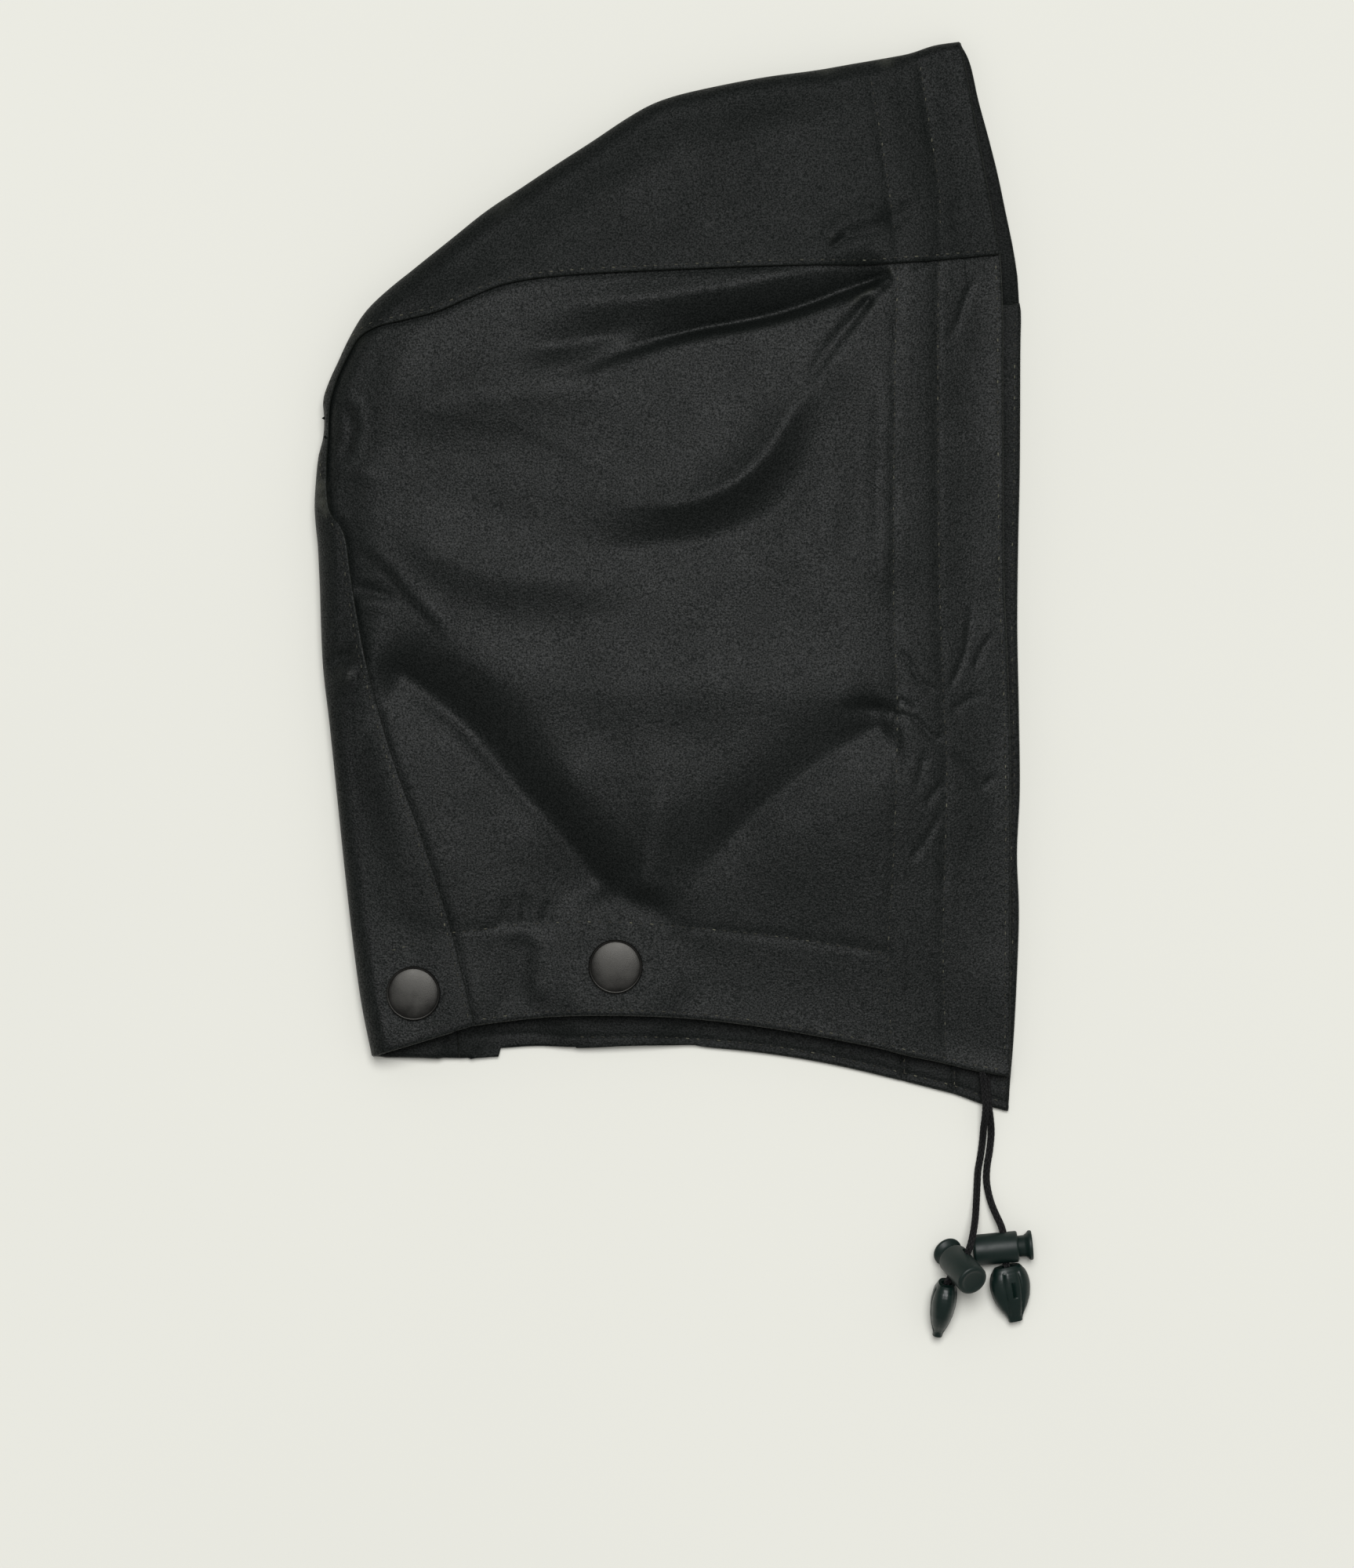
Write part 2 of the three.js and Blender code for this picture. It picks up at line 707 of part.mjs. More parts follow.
// Stud cap with its post, the seat face of the cloth at height 0
function capGeometry() {
  return turned([
    { radius: 0, height: piece_gap + cap_height },
    { radius: cap_radius * 0.55, height: piece_gap + cap_height * 0.95 },
    { radius: cap_radius - cap_rim_width, height: piece_gap + cap_height * 0.8 },
    { radius: cap_radius - cap_rim_width / 2, height: piece_gap + cap_height * 0.88 },
    { radius: cap_radius, height: piece_gap + cap_rim_height },
    { radius: cap_radius - 0.2, height: piece_gap },
    { radius: post_radius, height: piece_gap },
    { radius: post_radius, height: -hem_wall - piece_gap - socket_web },
    { radius: 0, height: -hem_wall - piece_gap - socket_web },
  ].reverse(), stud_sides);
}

function socketGeometry() {
  const top = -hem_wall - piece_gap;
  const bottom = top - socket_height;
  const neck = post_radius + post_clearance;
  const profile = [
    { radius: neck, height: top },
    { radius: neck, height: top - socket_web },
    { radius: socket_bore, height: top - socket_web },
    { radius: socket_bore, height: bottom },
    { radius: socket_radius - 0.3, height: bottom },
    { radius: socket_radius, height: bottom + 0.4 },
    { radius: socket_radius, height: top },
    { radius: neck, height: top },
  ];
  return turned(profile, stud_sides);
}

function studGroup(stud) {
  const group = new THREE.Group();
  const centre = placed(stud);
  const cap = new THREE.Mesh(capGeometry(), gunmetal());
  cap.name = `stud_cap_${stud.name}`;
  const socket = new THREE.Mesh(socketGeometry(), gunmetal());
  socket.name = `stud_socket_${stud.name}`;
  group.add(cap, socket);
  group.position.set(centre.x, centre.y, seatHeight(stud));
  if (!stud.upper) group.rotation.x = Math.PI;
  return group;
}

function stadiumBar(width, low, high) {
  const half = width / 2;
  const outline = new THREE.Shape();
  outline.absarc(0, low + half, half, Math.PI, 2 * Math.PI);
  outline.absarc(0, high - half, half, 0, Math.PI);
  const reach = 2 * barrel_radius;
  const bar = new THREE.ExtrudeGeometry(outline, { depth: 2 * reach, bevelEnabled: false, curveSegments: 5 });
  return bar.translate(0, 0, -reach);
}

// Barrel with its axis along +Y from the domed end, its spring bore and its cross hole for the cord
function barrelGeometry() {
  const profile = [
    [0, 0], [barrel_radius - barrel_edge, 0], [barrel_radius - barrel_edge * 0.3, barrel_edge * 0.3],
    [barrel_radius, barrel_edge], [barrel_radius, barrel_length - 0.3], [barrel_radius - 0.3, barrel_length],
    [bore_radius, barrel_length], [bore_radius, barrel_length - bore_depth], [0, barrel_length - bore_depth],
  ];
  const body = new THREE.LatheGeometry(profile.map(([x, y]) => new THREE.Vector2(x, y)), lock_sides);
  const hole = stadiumBar(
    cord_hole_width,
    cord_hole_from_dome - cord_hole_length / 2,
    cord_hole_from_dome + cord_hole_length / 2,
  );
  return geometryOf(solidOf(body).subtract(solidOf(hole)));
}

// Plunger on the same axis, let out by its spring. Its slot is longer than the cord by the press travel
function plungerGeometry() {
  const flare = barrel_length + neck_run;
  const disc = flare + flare_run;
  const profile = [
    [0, barrel_length - shank_inside], [shank_radius, barrel_length - shank_inside], [shank_radius, flare],
    [button_radius - 0.2, disc], [button_radius, disc + 0.2], [button_radius, disc + button_thickness - 0.2],
    [button_radius - 0.2, disc + button_thickness], [0, disc + button_thickness],
  ];
  const body = new THREE.LatheGeometry(profile.map(([x, y]) => new THREE.Vector2(x, y)), lock_sides);
  const low = cord_hole_from_dome - cord_hole_width / 2;
  const slot = stadiumBar(cord_hole_width, low, low + cord_hole_width + press_travel);
  return geometryOf(solidOf(body).subtract(solidOf(slot)));
}

// The way that a bearing, a fall and a turn give: the axis, and across it the side that is turned up
function wayOf(pose) {
  const bearing = THREE.MathUtils.degToRad(pose.bearing);
  const fall = THREE.MathUtils.degToRad(pose.fall);
  const turn = THREE.MathUtils.degToRad(pose.turn);
  const axis = new THREE.Vector3(
    Math.cos(bearing) * Math.cos(fall), Math.sin(bearing) * Math.cos(fall), -Math.sin(fall),
  );
  const level = new THREE.Vector3(-Math.sin(bearing), Math.cos(bearing), 0);
  const raised = new THREE.Vector3().crossVectors(axis, level);
  const across = level.multiplyScalar(Math.cos(turn)).addScaledVector(raised, Math.sin(turn));
  if (across.y < 0) across.negate();
  return { axis, across };
}

function fromCorner(row) {
  const corner = placed(front_left[front_left.length - 1]);
  return new THREE.Vector3(corner.x + row.right, corner.y + row.up, row.height ?? 0);
}

// Local +Y along the axis and local +Z along the cord's way through
function turnTo(group, pose) {
  const { axis, across } = wayOf(pose);
  const side = new THREE.Vector3().crossVectors(axis, across);
  group.quaternion.setFromRotationMatrix(new THREE.Matrix4().makeBasis(side, axis, across));
}

function lockGroup(side, pose) {
  const group = new THREE.Group();
  const barrel = new THREE.Mesh(barrelGeometry(), plastic());
  barrel.name = `lock_barrel_${side}`;
  const plunger = new THREE.Mesh(plungerGeometry(), plastic());
  plunger.name = `lock_plunger_${side}`;
  group.add(barrel, plunger);
  turnTo(group, pose);
  group.position.copy(fromCorner(pose));
  return group;
}

// Teardrop cord end with its axis along +Y from the mouth, its width along +X and its thickness along +Z
function cordEndGeometry() {
  const net = end_sections.map((section) => {
    const line = [];
    for (let side = 0; side < end_sides; side += 1) {
      const angle = (2 * Math.PI * side) / end_sides;
      const wide = (end_width / 2) * section.wide * Math.sign(Math.cos(angle)) * Math.abs(Math.cos(angle)) ** 0.85;
      const thick = (end_thickness / 2) * section.thick * Math.sign(Math.sin(angle))
        * Math.abs(Math.sin(angle)) ** 0.85;
      line.push([wide, section.along * end_length, thick]);
    }
    return line;
  });
  const positions = net.flat(2);
  const faces = [];
  const at = (row, side) => row * end_sides + (side % end_sides);
  for (let row = 0; row < net.length - 1; row += 1) {
    for (let side = 0; side < end_sides; side += 1) {
      faces.push(at(row, side), at(row + 1, side), at(row + 1, side + 1));
      faces.push(at(row, side), at(row + 1, side + 1), at(row, side + 1));
    }
  }
  for (let side = 1; side < end_sides - 1; side += 1) {
    faces.push(at(0, 0), at(0, side), at(0, side + 1));
    faces.push(at(net.length - 1, 0), at(net.length - 1, side + 1), at(net.length - 1, side));
  }
  const body = outwardFaces(positions, faces);
  const bore = new THREE.CylinderGeometry(end_bore / 2, end_bore / 2, 2 * end_bore_depth, 10);
  return geometryOf(solidOf(body).subtract(solidOf(bore)));
}

// A cord end laid down so that its lowest point meets the surface
function cordEnd(side, pose) {
  const end = new THREE.Mesh(cordEndGeometry(), plastic());
  end.name = `cord_end_${side}`;
  turnTo(end, pose);
  end.position.copy(fromCorner(pose));
  end.updateMatrixWorld();
  const box = new THREE.Box3().setFromObject(end, true);
  end.position.z -= box.min.z;
  return end;
}

// A free cord from its points, through its lock's cross hole and into its cord end
function cordMesh(side, points, lock, end) {
  const { across } = wayOf(lock);
  const { axis } = wayOf(lock);
  const hole = fromCorner(lock).addScaledVector(axis, cord_hole_from_dome);
  const route = points.map((row) => fromCorner(row));
  for (const share of [1, 0, -1]) route.push(hole.clone().addScaledVector(across, share * barrel_radius));
  const inward = new THREE.Vector3(0, 1, 0).applyQuaternion(end.quaternion);
  for (const depth of [0.05, 0.4, 0.8]) route.push(end.position.clone().addScaledVector(inward, depth * end_bore_depth));
  const outline = new THREE.Shape();
  outline.absarc(0, 0, cord_diameter / 2, 0, 2 * Math.PI);
  const geometry = new THREE.ExtrudeGeometry(outline, {
    steps: cord_steps,
    curveSegments: cord_sides / 2,
    bevelEnabled: false,
    extrudePath: new THREE.CatmullRomCurve3(route, false, 'centripetal'),
  });
  const cord = new THREE.Mesh(geometry, braid());
  cord.name = `drawcord_${side}`;
  return cord;
}

function clothMesh(name, geometry) {
  const mesh = new THREE.Mesh(geometry, cloth());
  mesh.name = name;
  return mesh;
}

const hood = new THREE.Group();
const left_side = withStudHoles(leftSideGeometry(), 'side_panel_left').add(solidOf(tunnelMouth()));
hood.add(clothMesh('centre_panel', geometryOf(withStudHoles(centrePanelGeometry(), 'centre_panel'))));
hood.add(clothMesh('side_panel_right', geometryOf(withStudHoles(rightSideGeometry(), 'side_panel_right'))));
hood.add(clothMesh('side_panel_left', geometryOf(left_side)));
for (const stud of studs) hood.add(studGroup(stud));
hood.add(lockGroup('right', lock_right_pose), lockGroup('left', lock_left_pose));
const end_right = cordEnd('right', end_right_pose);
const end_left = cordEnd('left', end_left_pose);
hood.add(end_right, end_left);
hood.add(cordMesh('right', cord_right_points, lock_right_pose, end_right));
hood.add(cordMesh('left', cord_left_points, lock_left_pose, end_left));

export default hood;
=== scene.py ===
"""Looks of a detachable waxed-cotton hood that lies flat on its side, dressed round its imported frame.

Lengths are metres unless a name ends in _mm. +X runs towards the face opening, +Y towards the crown and
+Z up from the surface. Right is the wearer's right side, which lies on top.
"""

import math
from collections import namedtuple

import bmesh
import bpy
import numpy as np
from bpy.props import FloatProperty, FloatVectorProperty, IntProperty, PointerProperty
from mathutils import Matrix, Vector


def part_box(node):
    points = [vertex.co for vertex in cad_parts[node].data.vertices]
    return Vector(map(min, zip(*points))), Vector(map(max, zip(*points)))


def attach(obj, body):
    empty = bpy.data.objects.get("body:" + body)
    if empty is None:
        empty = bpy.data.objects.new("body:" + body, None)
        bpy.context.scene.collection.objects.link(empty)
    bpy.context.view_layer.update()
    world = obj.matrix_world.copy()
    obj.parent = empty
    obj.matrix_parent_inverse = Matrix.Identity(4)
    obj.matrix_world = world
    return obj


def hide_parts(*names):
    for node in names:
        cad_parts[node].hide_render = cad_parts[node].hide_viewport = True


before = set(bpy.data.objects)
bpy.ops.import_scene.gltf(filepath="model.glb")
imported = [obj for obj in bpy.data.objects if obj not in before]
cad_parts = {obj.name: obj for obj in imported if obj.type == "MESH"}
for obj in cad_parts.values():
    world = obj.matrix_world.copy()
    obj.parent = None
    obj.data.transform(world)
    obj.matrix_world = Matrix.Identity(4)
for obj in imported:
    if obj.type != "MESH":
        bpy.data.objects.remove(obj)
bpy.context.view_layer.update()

bl_info = {
    "name": "Detachable Hood",
    "version": (1, 0, 0),
    "blender": (4, 5, 0),
    "location": "View3D > Sidebar > Hood",
    "description": "Builds the cloth, stitching, studs, cords and cord locks of a detachable hood",
    "category": "Object",
}

MM = 0.001

# The hood's own box in the photograph, in pixels: its left and bottom edges, and its width and height
PHOTO_LEFT_PX = 407.0
PHOTO_BOTTOM_PX = 1415.0
PHOTO_WIDTH_PX = 893.0
PHOTO_HEIGHT_PX = 1360.0

PANEL_NODES = ("centre_panel", "side_panel_right", "side_panel_left")
PANEL_LOW = np.array([min(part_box(node)[0][axis] for node in PANEL_NODES) for axis in (0, 1)])
PANEL_HIGH = np.array([max(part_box(node)[1][axis] for node in PANEL_NODES) for axis in (0, 1)])
PANEL_SPAN = PANEL_HIGH - PANEL_LOW
PIXEL = PANEL_SPAN[0] / PHOTO_WIDTH_PX

# Heights of the fold, of the studs' seats and of the edges
FOLD_RADIUS_MM = 5.8
NECK_HEIGHT_MM = 11.2
UPPER_SEAT_MM = 12.8
LOWER_SEAT_MM = 2.3
SEAT_REACH_MM = 15.0
SEAT_FADE_MM = 14.0
FRONT_HEM_MM = 36.0
NECK_HEM_MM = 30.0
HEM_STEP_MM = 4.0

# The loft of the upper side: its rise, how far from the fold, the front and the neck it is reached, how much
# of the way from the fold is gone before it starts, and over what distance from the fold it is held back
LOFT_RISE_MM = 5.8
LOFT_FOLD_MM = 110.0
LOFT_FRONT_MM = 58.0
LOFT_NECK_MM = 80.0
LOFT_START_SHARE = 0.12
LOFT_EASE_MM = 20.0
# A further rise close to the fold, which makes the back of the head plump
PLUMP_RISE_MM = 3.0
PLUMP_FOLD_MM = 20.0
PLUMP_FRONT_MM = 30.0
PLUMP_NECK_MM = 90.0
# Creases die away towards an edge: reach in millimetres, and what is left of them at the edge itself
FADE_AT_FOLD = (7.0, 0.12)
FADE_AT_FRONT = (8.0, 0.2)
FADE_AT_NECK = (10.0, 0.25)
STITCH_FADE_MM = 3.0
# How far the lower side lies off the surface, and the size of its ups and downs
SAG_MM = 0.35
SAG_SWING_MM = 0.3
SAG_CELL_MM = 34.0

# How round the fold is along the outline: share of the way from the crown to the nape, share of the radius
FOLD_ROUNDNESS = ((0.0, 0.66), (0.12, 0.95), (0.45, 1.12), (0.65, 1.05), (1.0, 1.0))
# Height of the upper front edge: share of the way up, share of NECK_HEIGHT_MM
FRONT_HEIGHTS = (
    (0.0, 0.66), (0.033, 0.67), (0.15, 0.90), (0.35, 1.16), (0.6, 1.20), (0.8, 0.96), (1.0, 0.66),
)
# Height of the upper neck edge: share of the way across, share of NECK_HEIGHT_MM
NECK_HEIGHTS = ((0.50, 1.00), (0.78, 0.96), (0.93, 0.70), (1.00, 0.66))

# Outlines and seams, by their places in the photograph: px across, px down
FOLD_LINE_PX = (
    (1222, 55), (1190, 60), (1160, 70), (1130, 76), (1085, 84), (1040, 92), (980, 100), (920, 111),
    (860, 125), (830, 136), (800, 153), (755, 183), (710, 212), (665, 242), (620, 272), (575, 308),
    (530, 344), (500, 369), (470, 401), (449, 436), (436, 464), (425, 488), (417, 512), (418.5, 536),
    (417, 560), (411, 584), (408, 612), (406, 645), (408, 690), (410, 740), (413, 848), (421, 920),
    (431, 1016), (441, 1112), (452, 1208), (462, 1280), (475, 1345),
)
SEAM_RIGHT_PX = (
    (1272, 327), (1145, 339), (1020, 343), (900, 347), (800, 351), (730, 355), (680, 360), (640, 368),
    (600, 384), (560, 401), (520, 411), (480, 421), (460, 434), (447, 455), (432, 487), (423, 520),
    (421, 560), (419, 600), (420, 635), (424, 656), (438, 675), (444, 694), (448, 725), (454, 765),
    (470, 850), (500, 960), (540, 1070), (575, 1180), (590, 1240), (606, 1305),
)
SEAM_LEFT_PX = (
    (1300, 398), (1100, 415), (900, 436), (750, 478), (655, 541), (600, 619), (575, 710), (565, 800),
    (562, 900), (568, 1000), (586, 1200), (596, 1348),
)
FRONT_RIGHT_PX = (
    (1272, 327), (1275, 397), (1275, 500), (1277, 760), (1279, 800), (1283, 900), (1285, 1000), (1285, 1250),
    (1285, 1370),
)
FRONT_LEFT_PX = (
    (1300, 398), (1299, 440), (1298, 600), (1296, 690), (1295, 800), (1297, 910), (1298, 1010),
    (1294.5, 1088), (1297, 1160), (1295, 1232), (1290, 1328), (1285, 1390), (1284, 1415),
)
FRONT_CROWN_LEFT_PX = (
    (1222, 55), (1234, 80), (1245, 128), (1258, 176), (1270, 224), (1280, 272), (1290, 320), (1297, 368),
    (1300, 398),
)
NECK_RIGHT_PX = (
    (606, 1305), (650, 1299), (700, 1294), (786, 1292), (880, 1296), (960, 1305), (1040, 1318), (1130, 1336),
    (1155, 1343), (1200, 1352), (1240, 1362), (1285, 1370),
)
NECK_LEFT_PX = (
    (596, 1327), (637, 1328), (680, 1327), (740, 1330), (830, 1330), (890, 1333), (950, 1338), (1010, 1346),
    (1070, 1357), (1130, 1371), (1190, 1386), (1220, 1394), (1250, 1405), (1284, 1415),
)
# The step in the left neck edge: its place, depth and width, and over which share of the panel it dies away
NAPE_STEP_PX = 637.0
NAPE_DROP_PX = 14.5
NAPE_STEP_MM = 0.3
NAPE_STEP_SHARE = 0.0008
NAPE_DROP_SHARE = 0.05

# Rows of stitching on the right side
TUNNEL_INNER_PX = (
    (1107, 92), (1125, 198), (1135, 269), (1142, 327), (1139, 480), (1137, 760), (1142, 909), (1138, 1083),
    (1131, 1227), (1136, 1334),
)
TUNNEL_OUTER_PX = (
    (1170, 72), (1181, 143), (1187, 183), (1196, 244), (1197, 293), (1194, 411), (1194, 614), (1196, 759),
    (1201, 898), (1205, 972), (1201, 1212), (1206, 1350),
)
NECK_HEM_LINE_PX = (
    (495, 1213), (530, 1203), (570, 1190), (610, 1185), (670, 1178), (780, 1175), (880, 1182), (980, 1192),
    (1070, 1205), (1130, 1215),
)
# Rows of stitching on the left side, seen inside the hood below the right neck edge
TUNNEL_INNER_LEFT_PX = ((1150, 420), (1150, 700), (1152, 1000), (1153, 1372))
TUNNEL_OUTER_LEFT_PX = ((1212, 410), (1213, 700), (1215, 1000), (1217, 1388))

# Creases of the right side. A rise below zero is a valley. Left and right are the sides seen while going
# along the points: how many millimetres away the slope is mostly spent. Sharp is the roundness of the crest.
# Start and end are the shares of the length over which the crease fades in and out.
Crease = namedtuple("Crease", "name rise left right sharp start end points")
CREASES = (
    Crease("valley under the crown seam", -5.4, 3.0, 10.0, 0.6, 0.08, 0.5, (
        (1140, 350), (1090, 368), (1040, 388), (990, 404), (940, 415), (890, 424), (840, 437), (790, 455),
        (740, 475), (690, 492))),
    Crease("roll under the crown seam", 2.0, 6.0, 6.0, 2.0, 0.3, 0.4, (
        (1080, 343), (1000, 358), (920, 372), (830, 384), (740, 392), (660, 402))),
    Crease("dark hollow behind the temple", -2.2, 5.0, 7.0, 2.0, 0.4, 0.4, (
        (830, 420), (780, 430), (730, 442), (680, 448), (640, 452))),
    Crease("fine crease at the temple", -0.9, 1.4, 2.0, 0.3, 0.05, 0.4, (
        (1134, 352), (1110, 366), (1085, 382), (1066, 396), (1050, 408))),
    Crease("second fine crease at the temple", -1.0, 1.5, 2.0, 0.3, 0.06, 0.3, (
        (1138, 360), (1120, 374), (1104, 390), (1094, 402))),
    Crease("third fine crease at the temple", -1.5, 2.0, 2.6, 0.35, 0.1, 0.25, (
        (1112, 378), (1096, 400), (1078, 422), (1062, 442), (1048, 462), (1034, 486), (1026, 505))),
    Crease("crest from the temple", 4.2, 8.0, 12.5, 0.9, 0.5, 0.45, (
        (1078, 425), (1058, 452), (1038, 486), (1020, 515), (1000, 545), (976, 584), (940, 618), (890, 641),
        (835, 650), (750, 658))),
    Crease("valley from the temple", -2.5, 11.0, 10.0, 2.5, 0.45, 0.4, (
        (1085, 480), (1062, 535), (1030, 602), (980, 660), (905, 690), (845, 698), (750, 706), (640, 706))),
    Crease("soft roll at the back of the head", 2.6, 14.0, 14.0, 4.0, 0.3, 0.5, (
        (455, 560), (560, 520), (680, 500), (800, 498), (900, 520))),
    Crease("bright roll over the ear", 2.2, 14.0, 10.0, 4.0, 0.3, 0.3, (
        (470, 648), (530, 690), (605, 728), (705, 742), (820, 748))),
    Crease("crease at the back seam", 1.3, 9.0, 1.7, 0.3, 0.5, 0.3, (
        (436, 668), (455, 686), (475, 702), (500, 724), (517, 750), (545, 781), (568, 804), (590, 826))),
    Crease("groove below it", -0.6, 0.9, 1.7, 0.3, 0.3, 0.3, (
        (492, 722), (514, 751), (541, 781), (566, 806))),
    Crease("short crease at the back seam", -1.7, 1.4, 3.0, 0.4, 0.2, 0.3, (
        (452, 750), (470, 753), (490, 760), (510, 769))),
    Crease("pucker at the back seam", 0.9, 2.4, 2.4, 0.8, 0.2, 0.3, (
        (452, 772), (480, 770), (508, 775))),
    Crease("valley towards the nape", -6.0, 13.0, 25.0, 1.5, 0.12, 0.1, (
        (470, 842), (520, 866), (560, 897), (600, 935), (632, 972), (662, 1010), (692, 1042), (722, 1075),
        (750, 1108), (778, 1142), (796, 1160))),
    Crease("crest beside the valley", 2.0, 6.0, 14.0, 3.0, 0.3, 0.3, (
        (500, 882), (545, 912), (585, 947), (620, 984), (655, 1024), (690, 1064), (720, 1096), (752, 1134))),
    Crease("shoulder of the valley", 1.3, 12.0, 9.0, 5.0, 0.2, 0.4, (
        (548, 800), (590, 832), (640, 866), (680, 900), (706, 940), (730, 990), (758, 1050), (785, 1110))),
    Crease("broad ridge at the cheek", 1.5, 16.0, 13.0, 6.0, 0.25, 0.12, (
        (585, 815), (650, 848), (720, 872), (800, 882), (880, 880), (980, 880), (1060, 888), (1138, 903))),
    Crease("valley from the front hem", -3.7, 14.0, 14.0, 1.8, 0.08, 0.4, (
        (1141, 914), (1110, 930), (1070, 955), (1035, 980), (1000, 1008), (960, 1042), (925, 1078),
        (890, 1115), (858, 1148))),
    Crease("crest below the front valley", 0.8, 12.0, 7.0, 4.0, 0.2, 0.4, (
        (1100, 945), (1050, 985), (1005, 1022), (965, 1060), (930, 1098))),
    Crease("ridge between the two valleys", 2.4, 12.0, 12.0, 3.0, 0.5, 0.15, (
        (850, 930), (842, 1000), (832, 1070), (822, 1130), (816, 1160))),
    Crease("point where the valleys meet", -2.0, 5.0, 5.0, 1.5, 0.3, 0.3, (
        (790, 1130), (815, 1165), (850, 1150))),
    Crease("pinch at the front hem", -1.5, 2.6, 2.6, 0.6, 0.08, 0.5, (
        (1143, 912), (1120, 905), (1090, 904), (1060, 908))),
    Crease("roll beside the tunnel", 1.3, 6.0, 6.0, 3.5, 0.25, 0.25, (
        (1122, 450), (1118, 560), (1118, 680), (1124, 800))),
    Crease("soft fall below the temple", -1.6, 7.0, 10.0, 3.0, 0.3, 0.3, (
        (1108, 455), (1103, 540), (1100, 640), (1108, 740))),
    Crease("tunnel crease at its top", -0.56, 0.98, 1.4, 0.4, 0.2, 0.3, (
        (1244, 356), (1230, 384), (1222, 410), (1204, 440))),
    Crease("tunnel crease beside its top", -0.4, 0.98, 1.26, 0.4, 0.2, 0.4, (
        (1160, 350), (1176, 340), (1196, 336))),
    Crease("tunnel crease a", -0.56, 0.84, 1.26, 0.4, 0.15, 0.2, (
        (1142, 830), (1158, 846), (1170, 868), (1196, 886))),
    Crease("tunnel crease b", -0.48, 0.7, 0.98, 0.35, 0.1, 0.3, (
        (1144, 892), (1156, 900), (1166, 910))),
    Crease("tunnel crease c", -0.64, 0.84, 1.26, 0.4, 0.1, 0.2, (
        (1134, 915), (1146, 912), (1168, 920), (1180, 934), (1193, 943), (1200, 932))),
    Crease("hem crease a", -0.48, 1.12, 0.98, 0.4, 0.15, 0.3, (
        (1204, 886), (1219, 858), (1229, 832), (1234, 800), (1238, 770))),
    Crease("hem crease beside it", -0.48, 1.12, 0.98, 0.4, 0.2, 0.3, (
        (1238, 858), (1250, 830), (1268, 806))),
    Crease("hem crease b", -0.56, 0.98, 1.26, 0.4, 0.15, 0.25, (
        (1208, 958), (1228, 976), (1242, 991), (1250, 1002), (1274, 982))),
    Crease("hem crease c", -0.4, 1.4, 1.4, 0.5, 0.2, 0.4, (
        (1206, 914), (1228, 896), (1262, 884))),
    Crease("tunnel crease d", -0.48, 1.12, 1.4, 0.5, 0.2, 0.3, (
        (1176, 1028), (1194, 1006), (1204, 994))),
    Crease("tunnel crease below it", -0.48, 1.12, 1.26, 0.5, 0.2, 0.3, (
        (1158, 1098), (1170, 1082), (1183, 1064), (1200, 1030))),
    Crease("tunnel crease e", -0.4, 1.26, 1.26, 0.6, 0.3, 0.3, (
        (1166, 1014), (1173, 980), (1180, 954))),
    Crease("crown crease beside the tunnel", -1.5, 1.2, 2.4, 0.45, 0.2, 0.12, (
        (1050, 330), (1066, 314), (1090, 300), (1128, 288), (1150, 276), (1166, 264))),
    Crease("crown roll beside the tunnel", 1.4, 4.0, 4.0, 1.4, 0.3, 0.3, (
        (1040, 318), (1070, 298), (1110, 282), (1140, 276))),
    Crease("crown crease at the opening", -0.6, 1.4, 1.8, 0.4, 0.2, 0.3, (
        (1230, 262), (1216, 274), (1206, 284))),
    Crease("crown hollow", -0.8, 12.0, 12.0, 5.0, 0.4, 0.4, (
        (940, 140), (890, 200), (850, 250), (830, 300))),
    Crease("crown roll", 0.8, 14.0, 14.0, 5.0, 0.4, 0.4, (
        (1060, 150), (980, 190), (900, 240), (830, 290))),
    Crease("crown hollow at the back", -1.0, 8.0, 8.0, 3.0, 0.4, 0.4, (
        (560, 345), (600, 352), (660, 335), (720, 330))),
    Crease("arc at the back of the head", -0.8, 1.4, 1.8, 0.4, 0.2, 0.2, (
        (428, 514), (442, 522), (452, 545), (448, 568), (440, 584), (428, 596))),
    Crease("arc beside it", 0.8, 1.6, 3.0, 0.6, 0.25, 0.25, (
        (432, 500), (452, 512), (464, 540), (460, 572), (448, 592))),
    Crease("fold below the arcs", 0.8, 1.4, 3.0, 0.4, 0.1, 0.5, (
        (424, 600), (440, 598), (470, 606), (500, 622))),
    Crease("back panel pinch", -1.8, 2.2, 3.4, 0.8, 0.15, 0.25, (
        (418, 852), (432, 843), (447, 836), (462, 838))),
    Crease("back panel roll", 1.6, 3.4, 4.0, 1.2, 0.2, 0.3, (
        (418, 872), (440, 864), (458, 868))),
    Crease("hem pucker a", -0.8, 1.8, 1.8, 0.7, 0.1, 0.5, (
        (642, 1182), (648, 1160), (646, 1140))),
    Crease("hem pucker b", -0.9, 1.8, 1.8, 0.7, 0.1, 0.5, (
        (668, 1181), (672, 1158), (664, 1132))),
    Crease("hem pucker c", -0.8, 1.8, 1.8, 0.7, 0.1, 0.5, (
        (692, 1179), (700, 1160), (700, 1140))),
    Crease("hem roll a", 1.1, 5.0, 6.0, 2.0, 0.2, 0.3, (
        (690, 1182), (692, 1220), (688, 1262), (690, 1292))),
    Crease("hem hollow a", -0.8, 4.0, 5.0, 2.0, 0.2, 0.3, (
        (672, 1186), (668, 1224), (664, 1260), (668, 1292))),
    Crease("hem roll b", 1.2, 5.0, 6.0, 2.0, 0.15, 0.4, (
        (822, 1182), (828, 1215), (842, 1250), (852, 1285))),
